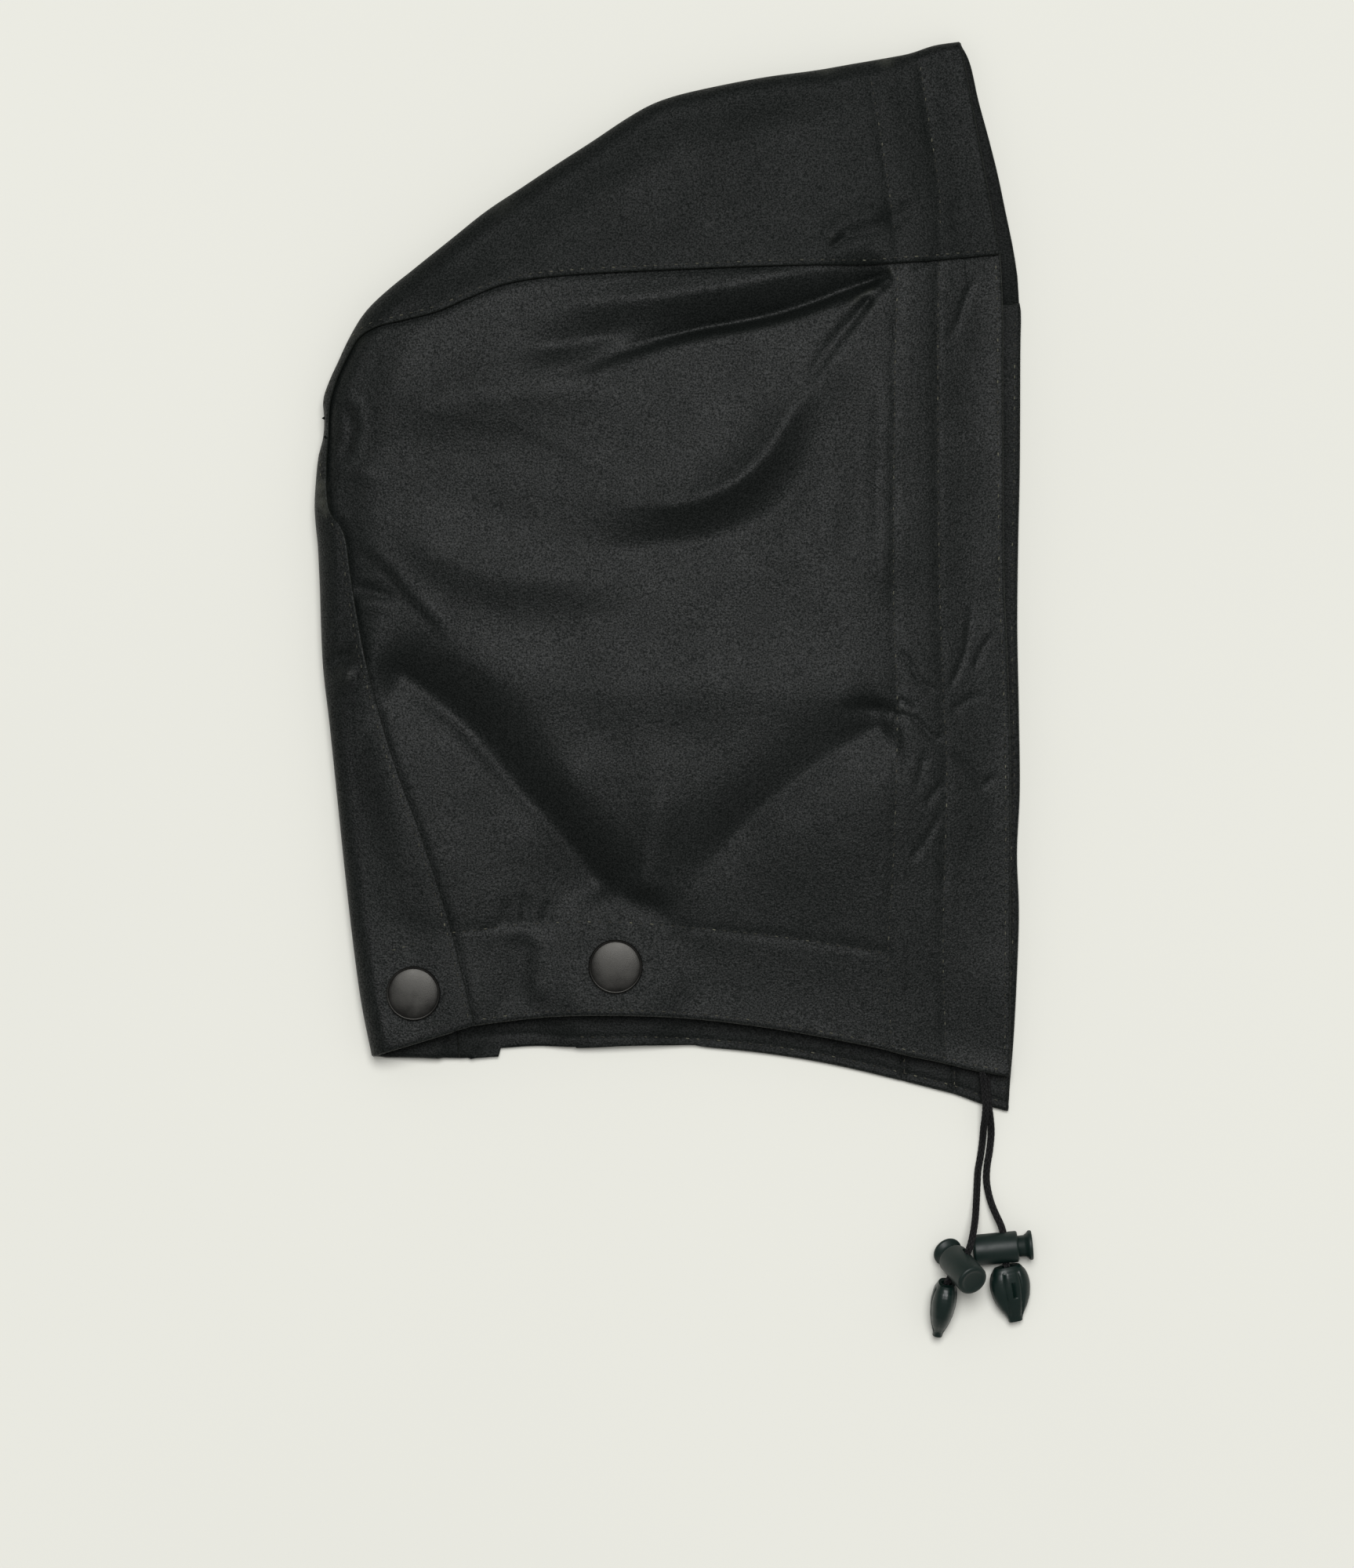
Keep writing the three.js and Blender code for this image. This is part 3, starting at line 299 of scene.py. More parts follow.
    Crease("hem hollow b", -0.8, 5.0, 5.0, 2.0, 0.2, 0.4, (
        (850, 1188), (862, 1215), (880, 1245))),
)

# Gentle unevenness of all the cloth: cell in millimetres, rise in millimetres
UNEVEN = ((46.0, 0.7), (21.0, 0.32), (9.0, 0.10))

# The slope of a crease: how far it runs past its reach, how softly it ends, and how much it is bowed in a
# wide crease, whose reach is over this, and in a fine one
FACET_RUN = 1.25
FACET_SOFTNESS = 0.22
WIDE_REACH_MM = 5.0
WIDE_CURVE = 1.9
FINE_CURVE = 1.2
# A crease is worked out within this many times its reach
CREASE_MARGIN = 6.0

# How far rows of stitches run to the left of their seam or edge, seen along its points
SEAM_STITCH_MM = -1.3
FRONT_STITCH_RIGHT_MM = -1.2
FRONT_STITCH_LEFT_MM = -1.3
NECK_STITCH_RIGHT_MM = 1.3
NECK_STITCH_LEFT_MM = 2.0
# The grooves that rows of stitches draw in: depth and half width in millimetres
TUNNEL_INNER_GROOVE_MM = (0.34, 1.7)
TUNNEL_OUTER_GROOVE_MM = (0.26, 1.6)
NECK_HEM_GROOVE_MM = (0.4, 1.8)
SEAM_GROOVE_MM = (0.6, 1.5)
TUNNEL_LEFT_GROOVE_MM = (0.6, 1.0)
NECK_LEFT_GROOVE_MM = (0.35, 0.9)
# How unevenly the stitches draw, as a mean and a swing, and the size of the puckers
DRAW_MEAN = 0.75
DRAW_SWING = 0.45
PUCKER_CELL_MM = 7.0
# How the tunnel stands up between its two rows of stitches
PUFF_RISE_MM = 0.2
PUFF_REACH_MM = 4.5
PUFF_SWING = 0.5
PUFF_CELL_MM = 26.0

# Each random pattern has its own seed
UNEVEN_SEED = 11
PUCKER_SEED = 31
PUFF_SEED = 32
SAG_SEED = 41
STITCH_SEED = 71

# The right and left drawcord ends, from the hood's lowest front corner: right, up and height in millimetres
CORD_RIGHT_MM = (
    (-8.1, 12.5, 6.75), (-7.5, 7.8, 6.00), (-6.9, 2.0, 5.65), (-7.1, -2.0, 4.90), (-7.5, -5.8, 3.30),
    (-7.8, -10.0, 1.75), (-8.4, -14.8, 1.20), (-9.2, -19.5, 1.15), (-9.5, -24.3, 1.50), (-9.8, -29.0, 3.20),
    (-10.3, -34.3, 6.80), (-11.1, -38.8, 9.80), (-12.0, -42.4, 11.30),
)
CORD_LEFT_MM = (
    (-6.6, 15.7, 3.30), (-6.5, 10.3, 3.30), (-6.2, 4.0, 3.30), (-5.7, 0.0, 3.10), (-5.2, -3.8, 2.20),
    (-5.0, -7.5, 1.35), (-5.5, -13.0, 1.15), (-6.3, -18.0, 1.15), (-6.5, -22.3, 1.20), (-6.0, -26.0, 1.60),
    (-5.0, -29.8, 2.60), (-3.5, -33.5, 3.90), (-2.2, -36.3, 4.70),
)
FRONT_CORNER_PX = (1283.93, 1415)
CORD_DIAMETER_MM = 2.1

# How locks and cord ends lie: place from the same corner in millimetres, bearing, fall and turn in degrees
Pose = namedtuple("Pose", "right up height bearing fall turn")
LOCK_POSES = {
    "right": Pose(-11.5, -53.5, 18.1, 132.0, 52.0, -18.0),
    "left": Pose(-10.9, -44.7, 5.0, 5.5, 0.0, 0.0),
}
END_POSES = {
    "right": Pose(-19.4, -54.7, 0.0, 260.5, 18.0, 0.0),
    "left": Pose(-0.2, -49.6, 0.0, 279.5, 8.0, 74.0),
}
CORD_END_GUIDES = (0.05, 0.4, 0.8)
END_LENGTH_MM = 18.0
END_WIDTH_MM = 13.2
END_THICKNESS_MM = 8.0
END_BORE_MM = 3.6
END_BORE_DEPTH_MM = 6.0
# Shares of a cord end's length, and of its half width and half thickness there
END_SECTIONS = (
    (0.00, 0.58, 0.62), (0.04, 0.74, 0.78), (0.12, 0.89, 0.92), (0.25, 0.98, 0.99), (0.38, 1.00, 1.00),
    (0.58, 0.90, 0.90), (0.76, 0.68, 0.70), (0.90, 0.40, 0.46), (1.00, 0.33, 0.40),
)
# The power that makes a cord end's sections fuller than an ellipse
END_FULLNESS = 0.85
BARREL_LENGTH_MM = 14.3
BARREL_RADIUS_MM = 5.0
BORE_RADIUS_MM = 3.5
BORE_DEPTH_MM = 12.0
HOLE_FROM_DOME_MM = 10.0
HOLE_WIDTH_MM = 3.2
HOLE_LENGTH_MM = 4.2
SHANK_RADIUS_MM = 3.1
SHANK_INSIDE_MM = 8.8
PRESS_TRAVEL_MM = 2.2
NECK_RUN_MM = 2.5
FLARE_RUN_MM = 0.9
BUTTON_THICKNESS_MM = 1.2
BUTTON_RADIUS_MM = 4.75

STUD_NAMES = ("nape_right", "neck_right", "nape_left", "neck_left")

# The least lengths that are divided by, in metres: of a direction, and of a step that a bend is measured over
TINY = 1e-12
FINEST_STEP = 2e-4


def smooth(value):
    """An eased step: 0 below 0, 1 above 1."""
    share = np.clip(value, 0.0, 1.0)
    return share * share * (3.0 - 2.0 * share)


def hood_place(points_px):
    """Places in the row frame, in metres, of points given in the photograph's pixels."""
    points = np.asarray(points_px, float)
    across = (points[:, 0] - PHOTO_LEFT_PX) / PHOTO_WIDTH_PX
    up = (PHOTO_BOTTOM_PX - points[:, 1]) / PHOTO_HEIGHT_PX
    return PANEL_LOW + np.stack([across, up], axis=1) * PANEL_SPAN


def table_at(rows, value):
    """Reads a table of two columns between its rows, easing from each row to the next."""
    keys, values = np.array(rows, float).T
    row = np.clip(np.searchsorted(keys, value) - 1, 0, len(keys) - 2)
    share = smooth((value - keys[row]) / (keys[row + 1] - keys[row]))
    return values[row] + (values[row + 1] - values[row]) * share


def curve_through(points, steps=12):
    """A centripetal Catmull-Rom curve through points, as a line of close points."""
    points = np.asarray(points, float)
    points = np.vstack([2 * points[0] - points[1], points, 2 * points[-1] - points[-2]])
    parts = []
    for first in range(len(points) - 3):
        a, b, c, d = points[first:first + 4]
        knot_b = math.sqrt(np.linalg.norm(b - a))
        knot_c = knot_b + math.sqrt(np.linalg.norm(c - b))
        knot_d = knot_c + math.sqrt(np.linalg.norm(d - c))
        at = np.linspace(knot_b, knot_c, steps, endpoint=False)[:, None]
        ab = ((knot_b - at) * a + at * b) / knot_b
        bc = ((knot_c - at) * b + (at - knot_b) * c) / (knot_c - knot_b)
        cd = ((knot_d - at) * c + (at - knot_c) * d) / (knot_d - knot_c)
        abc = ((knot_c - at) * ab + at * bc) / knot_c
        bcd = ((knot_d - at) * bc + (at - knot_b) * cd) / (knot_d - knot_b)
        parts.append(((knot_c - at) * abc + (at - knot_b) * bcd) / (knot_c - knot_b))
    parts.append(points[-2][None])
    return np.vstack(parts)


def at_shares(line, shares):
    """Points at shares of the length of a line."""
    runs = np.linalg.norm(np.diff(line, axis=0), axis=1)
    along = np.concatenate([[0.0], np.cumsum(runs)]) / runs.sum()
    return np.stack([np.interp(shares, along, line[:, axis]) for axis in range(line.shape[1])], axis=1)


def length_of(line):
    return float(np.linalg.norm(np.diff(line, axis=0), axis=1).sum())


def outline(points_px, count=160):
    """A smooth line through points given in the photograph's pixels, as evenly spaced places."""
    return at_shares(curve_through(hood_place(points_px)), np.linspace(0.0, 1.0, count + 1))


def nearest(line, places):
    """Each place's distance from a line, the side on which it lies (left is 1) and its share along it."""
    best = np.full(len(places), np.inf)
    side = np.ones(len(places))
    along = np.zeros(len(places))
    for step in range(len(line) - 1):
        run = line[step + 1] - line[step]
        off = places - line[step]
        share = np.clip((off @ run) / (run @ run), 0.0, 1.0)
        gap = off - share[:, None] * run
        distance = (gap * gap).sum(axis=1)
        closer = distance < best
        best = np.where(closer, distance, best)
        turn = np.where(run[0] * off[:, 1] - run[1] * off[:, 0] < 0.0, -1.0, 1.0)
        side = np.where(closer, turn, side)
        along = np.where(closer, (step + share) / (len(line) - 1), along)
    return np.sqrt(best), side, along


# The random grid behind the ups and downs: cells each way, and a start that keeps its numbers above zero
RIPPLE_CELLS = 64
RIPPLE_START = 400.5


def ripple(places, cell, seed):
    """Smooth random ups and downs between -1 and 1, about one for each cell."""
    values = np.random.default_rng(seed).uniform(-1.0, 1.0, (RIPPLE_CELLS, RIPPLE_CELLS))
    grid = places / cell + RIPPLE_START
    base = np.floor(grid).astype(int)
    share = smooth(grid - base)
    column, row = base[:, 0] % RIPPLE_CELLS, base[:, 1] % RIPPLE_CELLS
    next_column, next_row = (column + 1) % RIPPLE_CELLS, (row + 1) % RIPPLE_CELLS
    low = values[row, column] * (1 - share[:, 0]) + values[row, next_column] * share[:, 0]
    high = values[next_row, column] * (1 - share[:, 0]) + values[next_row, next_column] * share[:, 0]
    return low * (1 - share[:, 1]) + high * share[:, 1]


FOLD = outline(FOLD_LINE_PX, 220)
SEAM_RIGHT = outline(SEAM_RIGHT_PX, 220)
SEAM_LEFT = outline(SEAM_LEFT_PX)
FRONT_RIGHT = outline(FRONT_RIGHT_PX, 60)
FRONT_LEFT = outline(FRONT_LEFT_PX, 80)
FRONT_CROWN_LEFT = outline(FRONT_CROWN_LEFT_PX, 40)
NECK_RIGHT = outline(NECK_RIGHT_PX, 60)
NECK_LEFT = outline(NECK_LEFT_PX, 80)
EDGE_RIGHT = np.vstack([FOLD[:1], FRONT_RIGHT])
EDGE_LEFT = np.vstack([FRONT_CROWN_LEFT, FRONT_LEFT[1:]])
NECK_EDGE_RIGHT = np.vstack([FOLD[-1:], NECK_RIGHT])
NECK_EDGE_LEFT = np.vstack([FOLD[-1:], NECK_LEFT])
TUNNEL_INNER = outline(TUNNEL_INNER_PX, 80)
TUNNEL_OUTER = outline(TUNNEL_OUTER_PX, 80)
NECK_HEM_LINE = outline(NECK_HEM_LINE_PX, 60)
TUNNEL_INNER_LEFT = outline(TUNNEL_INNER_LEFT_PX, 40)
TUNNEL_OUTER_LEFT = outline(TUNNEL_OUTER_LEFT_PX, 40)
CREASE_LINES = [outline(crease.points, 5 * len(crease.points)) for crease in CREASES]


def stud_places():
    """Centre of each press stud and whether it is on the upper side."""
    places = {}
    for name in STUD_NAMES:
        low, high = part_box(f"stud_cap_{name}")
        centre = np.array([(low.x + high.x) / 2, (low.y + high.y) / 2])
        places[name] = (centre, name.endswith("right"))
    return places


STUDS = stud_places()


def seat_share(places, upper):
    """How far the cloth is held flat by a stud, from 0 to 1."""
    held = np.zeros(len(places))
    for centre, on_top in STUDS.values():
        if on_top == upper:
            distance = np.linalg.norm(places - centre, axis=1) / MM
            held = np.maximum(held, 1.0 - smooth((distance - SEAT_REACH_MM) / SEAT_FADE_MM))
    return held


def crease_height(crease, line, places):
    """Rise of one crease, in millimetres."""
    reach_mm = max(crease.left, crease.right)
    curve = WIDE_CURVE if reach_mm > WIDE_REACH_MM else FINE_CURVE
    margin = CREASE_MARGIN * reach_mm * MM
    near = np.all((places > line.min(axis=0) - margin) & (places < line.max(axis=0) + margin), axis=1)
    height = np.zeros(len(places))
    distance, side, along = nearest(line, places[near])
    reach = np.where(side > 0, crease.left, crease.right)
    away = np.sqrt((distance / MM) ** 2 + crease.sharp ** 2) - crease.sharp
    left_over = 1.0 - away / (FACET_RUN * reach)
    facet = (np.sqrt(left_over ** 2 + FACET_SOFTNESS ** 2) + left_over) / 2
    fade = smooth(along / crease.start) * smooth((1.0 - along) / crease.end)
    height[near] = crease.rise * fade * facet ** curve
    return height


def groove(line, places, depth_mm, width_mm):
    """How far the cloth is drawn in along a row of stitches, in millimetres."""
    distance = nearest(line, places)[0] / MM
    return -depth_mm * np.exp(-((distance / width_mm) ** 2))


def stitched_height(places):
    """How the rows of stitching draw the right side in, and how the tunnel between two rows stands up."""
    inner_gap, inner_side, _ = nearest(TUNNEL_INNER, places)
    outer_gap, outer_side, _ = nearest(TUNNEL_OUTER, places)
    inside = (inner_side > 0) & (outer_side < 0)
    puff = np.where(inside, smooth(np.minimum(inner_gap, outer_gap) / MM / PUFF_REACH_MM), 0.0)
    draw = DRAW_MEAN + DRAW_SWING * ripple(places, PUCKER_CELL_MM * MM, PUCKER_SEED)
    height = PUFF_RISE_MM * puff * (1.0 + PUFF_SWING * ripple(places, PUFF_CELL_MM * MM, PUFF_SEED))
    height += groove(TUNNEL_INNER, places, *TUNNEL_INNER_GROOVE_MM) * draw
    height += groove(TUNNEL_OUTER, places, *TUNNEL_OUTER_GROOVE_MM) * draw
    height += groove(NECK_HEM_LINE, places, *NECK_HEM_GROOVE_MM) * draw
    return height


def fold_shape(places):
    """Distance from the fold and the fold's radius in millimetres, how far the cloth leans over and rolls."""
    gap, _, along = nearest(FOLD, places)
    gap = gap / MM
    radius = FOLD_RADIUS_MM * table_at(FOLD_ROUNDNESS, along)
    lean = np.clip(1.0 - gap / radius, 0.0, 1.0)
    roll = radius * (1.0 - np.sqrt(1.0 - lean * lean))
    return gap, radius, lean, roll


def faded(gap, reach, left_over):
    """Rises from what is left over at an edge to the whole, within a reach of the edge."""
    return smooth(gap / reach + left_over)


def upper_height(places, settings):
    """Height of the outer face of the upper side, in metres."""
    fold_gap, radius, lean, roll = fold_shape(places)
    front_gap = nearest(EDGE_RIGHT, places)[0] / MM
    neck_gap = nearest(NECK_EDGE_RIGHT, places)[0] / MM
    share = (places - PANEL_LOW) / PANEL_SPAN
    front_height = NECK_HEIGHT_MM * table_at(FRONT_HEIGHTS, share[:, 1])
    neck_height = NECK_HEIGHT_MM * table_at(NECK_HEIGHTS, share[:, 0])
    pulls = ((fold_gap, 2.0 * radius), (front_gap, front_height), (neck_gap, neck_height))
    weights = [1.0 / (gap ** 2 + 1.0) for gap, _ in pulls]
    base = sum(weight * pull[1] for weight, pull in zip(weights, pulls)) / sum(weights)
    loft = LOFT_RISE_MM * faded(fold_gap, LOFT_FOLD_MM, LOFT_START_SHARE) * smooth(front_gap / LOFT_FRONT_MM)
    loft *= smooth(neck_gap / LOFT_NECK_MM) * smooth(fold_gap / LOFT_EASE_MM)
    plump = PLUMP_RISE_MM * smooth(fold_gap / PLUMP_FOLD_MM) * smooth(front_gap / PLUMP_FRONT_MM)
    loft += plump * smooth(neck_gap / PLUMP_NECK_MM)
    edge = faded(fold_gap, *FADE_AT_FOLD) * faded(front_gap, *FADE_AT_FRONT) * faded(neck_gap, *FADE_AT_NECK)
    folds = sum(crease_height(crease, line, places) for crease, line in zip(CREASES, CREASE_LINES))
    uneven = sum(
        rise_mm * ripple(places, cell_mm * MM, seed)
        for seed, (cell_mm, rise_mm) in enumerate(UNEVEN, UNEVEN_SEED)
    )
    height = base + loft + (folds * settings.crease_depth + uneven) * edge
    held = seat_share(places, True)
    height += (UPPER_SEAT_MM - height) * held
    height += stitched_height(places) * (1.0 - held) * smooth(fold_gap / STITCH_FADE_MM)
    return (height - roll - np.maximum(0.0, height - 2.0 * radius) * lean) * MM


def lower_height(places):
    """Height of the outer face of the lower side, which lies on the surface, in metres."""
    _, _, lean, roll = fold_shape(places)
    lift = seat_share(places, False)
    sag = SAG_MM + SAG_SWING_MM * ripple(places, SAG_CELL_MM * MM, SAG_SEED)
    return (roll + (LOWER_SEAT_MM * lift + sag * (1.0 - lift)) * (1.0 - lean)) * MM


def wall_at(places, upper, settings):
    """Thickness of the cloth, in metres: one layer, and more in the front hem and the neck hem."""
    front = nearest(EDGE_RIGHT if upper else EDGE_LEFT, places)[0] / MM
    neck = nearest(NECK_EDGE_RIGHT if upper else NECK_EDGE_LEFT, places)[0] / MM
    hem = np.maximum(smooth((FRONT_HEM_MM - front) / HEM_STEP_MM), smooth((NECK_HEM_MM - neck) / HEM_STEP_MM))
    return settings.cloth_wall + (settings.hem_wall - settings.cloth_wall) * hem


CROWDED_SAMPLES = 4001


def crowded(count, *bands):
    """count + 1 shares from 0 to 1, closer together in each band of low share, high share and density."""
    fine = np.linspace(0.0, 1.0, CROWDED_SAMPLES)
    density = np.ones_like(fine)
    for low, high, extra in bands:
        density += extra * ((fine >= low) & (fine <= high))
    total = np.concatenate([[0.0], np.cumsum((density[1:] + density[:-1]) / 2)])
    return np.interp(np.linspace(0.0, total[-1], count + 1), total, fine)


def net_normals(net, up):
    """Unit normals of a net of points, turned to the side that up gives at the net's middle."""
    along_rows = np.gradient(net, axis=0)
    along_columns = np.gradient(net, axis=1)
    normals = np.cross(along_columns, along_rows)
    normals /= np.maximum(np.linalg.norm(normals, axis=2, keepdims=True), TINY)
    middle = normals[net.shape[0] // 2, net.shape[1] // 4]
    return normals if middle[2] * up > 0 else -normals


def rim_indices(rows, columns):
    """Row and column of each point round the edge of a net, in order."""
    ring = [(0, column) for column in range(columns)]
    ring += [(row, columns - 1) for row in range(1, rows)]
    ring += [(rows - 1, column) for column in range(columns - 2, -1, -1)]
    ring += [(row, 0) for row in range(rows - 2, 0, -1)]
    return np.array(ring)


# Rubbed patches of the fold, painted paler as wear and as painted highlight: place, reach in millimetres and
# how far they are painted paler
RUBBED_AND_HIGHLIGHT_PX = (
    (411, 622, 3.6, 0.9), (413, 642, 3.4, 0.9), (417, 655, 2.4, 0.6), (1128, 80, 4.0, 0.5),
    (1052, 90, 4.0, 0.4), (455, 428, 6.0, 0.25), (640, 262, 7.0, 0.2),
)
RUBBED_AND_HIGHLIGHT = [(hood_place([row[:2]])[0], row[2], row[3]) for row in RUBBED_AND_HIGHLIGHT_PX]
# The cut edge of the cloth: shares of the wall at which its two rounding rows lie, how far they stand out,
# and how far they are painted paler, as wear and as a painted highlight along the edge
RIM_NEAR = 0.22
RIM_FAR = 0.78
RIM_BULGE = 0.28
RIM_WEAR_AND_HIGHLIGHT = 0.2
FLOOR_CLEARANCE_MM = 0.08
# The bend, per metre, at which a crest begins to be painted paler, as wear and as painted highlight, the run
# to the full amount, and the most that it is painted
CREST_START = 240.0
CREST_RUN = 1100.0
CREST_LIMIT = 0.45
# How many times the bend is smoothed first
BEND_PASSES = 2


def rubbed_and_highlight_share(net, normals):
    """How far the cloth is painted paler, as wear and painted highlight, at each point of its outer net: at
    sharp crests and patches of the fold.
    """
    patches = sum(
        rub * (1.0 - smooth(np.linalg.norm(net[..., :2] - place, axis=2) / MM / reach))
        for place, reach, rub in RUBBED_AND_HIGHLIGHT
    )
    return np.maximum(crest_share(net, normals), patches)


def cloth_mesh(name, outer, normals, wall):
    """A closed wall of cloth from its outer net, painted paler at its crests as wear and painted highlight,
    and which of its faces are inside.
    """
    rows, columns = outer.shape[:2]
    inner = outer - normals * wall[..., None]
    ring = rim_indices(rows, columns)
    inward = np.stack([np.clip(ring[:, 0], 1, rows - 2), np.clip(ring[:, 1], 1, columns - 2)], axis=1)
    edge_outer = outer[ring[:, 0], ring[:, 1]]
    edge_inner = inner[ring[:, 0], ring[:, 1]]
    out = edge_outer - outer[inward[:, 0], inward[:, 1]]
    out /= np.maximum(np.linalg.norm(out, axis=1, keepdims=True), TINY)
    thick = wall[ring[:, 0], ring[:, 1]][:, None]
    upper_rim = edge_outer * RIM_FAR + edge_inner * RIM_NEAR + out * thick * RIM_BULGE
    lower_rim = edge_outer * RIM_NEAR + edge_inner * RIM_FAR + out * thick * RIM_BULGE
    points = np.vstack([outer.reshape(-1, 3), inner.reshape(-1, 3), upper_rim, lower_rim])
    points[:, 2] = np.maximum(points[:, 2], FLOOR_CLEARANCE_MM * MM)
    index = np.arange(rows * columns).reshape(rows, columns)
    quads = np.stack([index[:-1, :-1], index[:-1, 1:], index[1:, 1:], index[1:, :-1]], axis=-1).reshape(-1, 4)
    total = rows * columns
    loops = [ring[:, 0] * columns + ring[:, 1]]
    loops += [2 * total + np.arange(len(ring)), 2 * total + len(ring) + np.arange(len(ring))]
    loops += [loops[0] + total]
    rims = [
        np.stack([np.roll(upper, -1), upper, lower, np.roll(lower, -1)], axis=-1)
        for upper, lower in zip(loops[:-1], loops[1:])
    ]
    faces = np.vstack([quads, quads[:, ::-1] + total, *rims])
    first = points[faces[0]]
    facing = np.cross(first[1] - first[0], first[3] - first[0]) @ normals[0, 0]
    mesh = mesh_from(name, points, faces if facing > 0 else faces[:, ::-1])
    # The paler paint at crests, rubbed patches and cut edges is part wear and part painted highlight.
    worn = np.zeros(len(points), np.float32)
    worn[:total] = rubbed_and_highlight_share(outer, normals).reshape(-1)
    worn[2 * total:] = RIM_WEAR_AND_HIGHLIGHT
    mesh.attributes.new("worn", "FLOAT", "POINT").data.foreach_set("value", worn)
    inside = np.zeros(len(mesh.polygons), np.int32)
    inside[len(quads):2 * len(quads)] = 1
    return mesh, inside


def crest_share(net, normals):
    """How sharply a net bends outwards at each point, from 0 to 1."""
    bend = np.zeros(net.shape[:2])
    for axis in (0, 1):
        slope = np.gradient(net, axis=axis)
        step = np.maximum(np.linalg.norm(slope, axis=2), FINEST_STEP)
        turn = np.gradient(slope / step[..., None], axis=axis)
        bend -= (turn * normals).sum(axis=2) / step
    for _ in range(BEND_PASSES):
        padded = np.pad(bend, 1, mode="edge")
        bend = (padded[:-2, 1:-1] + padded[2:, 1:-1] + padded[1:-1, :-2] + padded[1:-1, 2:] + 2 * bend) / 6
    return np.clip((bend - CREST_START) / CREST_RUN, 0.0, CREST_LIMIT)


def mesh_from(name, points, faces):
    """A smooth mesh from arrays of points and of faces that all have the same number of corners."""
    mesh = bpy.data.meshes.new(name)
    faces = np.asarray(faces)
    corners = faces.shape[1]
    mesh.vertices.add(len(points))
    mesh.vertices.foreach_set("co", np.asarray(points, np.float32).ravel())
    mesh.loops.add(faces.size)
    mesh.loops.foreach_set("vertex_index", faces.astype(np.int32).ravel())
    mesh.polygons.add(len(faces))
    mesh.polygons.foreach_set("loop_start", np.arange(0, faces.size, corners, dtype=np.int32))
    mesh.update(calc_edges=True)
    mesh.validate()
    mesh.polygons.foreach_set("use_smooth", np.ones(len(mesh.polygons), bool))
    return mesh


def add_piece(name, mesh, material, body, nodes=()):
    """Puts a finished piece in the scene, on its body and the nodes it stands for."""
    piece = bpy.data.objects.new(name, mesh)
    bpy.context.scene.collection.objects.link(piece)
    mesh.materials.append(material)
    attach(piece, body)
    if nodes:
        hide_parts(*nodes)
    return piece


class NodeTree:
    """A material's or a world's nodes, made and linked by short calls."""

    def __init__(self, owner):
        owner.use_nodes = True
        self.tree = owner.node_tree
        self.tree.nodes.clear()

    def add(self, kind, inputs=(), **settings):
        node = self.tree.nodes.new(kind)
        for key, value in settings.items():
            setattr(node, key, value)
        for key, value in dict(inputs).items():
            if isinstance(value, bpy.types.NodeSocket):
                self.tree.links.new(value, node.inputs[key])
            else:
                node.inputs[key].default_value = value
        return node

    def math(self, operation, first, second=0.0):
        return self.add("ShaderNodeMath", {0: first, 1: second}, operation=operation).outputs[0]

    def mix(self, share, first, second):
        node = self.add("ShaderNodeMix", {0: share, 6: first, 7: second}, data_type="RGBA")
        return node.outputs[2]

    def noise(self, place, scale, detail=3.0, roughness=0.55):
        inputs = {"Vector": place, "Scale": scale, "Detail": detail, "Roughness": roughness}
        return self.add("ShaderNodeTexNoise", inputs).outputs["Fac"]

    def ranged(self, value, low, high, to_low=0.0, to_high=1.0):
        inputs = {0: value, 1: low, 2: high, 3: to_low, 4: to_high}
        return self.add("ShaderNodeMapRange", inputs).outputs[0]

    def bump(self, height, distance, strength=1.0, normal=None):
        inputs = {"Height": height, "Distance": distance, "Strength": strength}
        if normal is not None:
            inputs["Normal"] = normal
        return self.add("ShaderNodeBump", inputs).outputs["Normal"]

    def finish(self, shader, target="ShaderNodeOutputMaterial"):
        self.add(target, {"Surface": shader})


def shade(colour, factor):
    return tuple(min(1.0, channel * factor) for channel in colour[:3]) + (1.0,)


def new_material(name):
    """A new material, its nodes, and the place on its object that its patterns follow."""
    material = bpy.data.materials.new(name)
    nodes = NodeTree(material)
    return material, nodes, nodes.add("ShaderNodeTexCoord").outputs["Object"]


THREADS_PER_METRE = 2300.0
WEAVE_SLANT = math.radians(8.0)
# Gloss of the wax, least and most, inside the hood and outside it
INSIDE_GLOSS = (0.06, 0.19)
OUTSIDE_GLOSS = (0.07, 0.335)


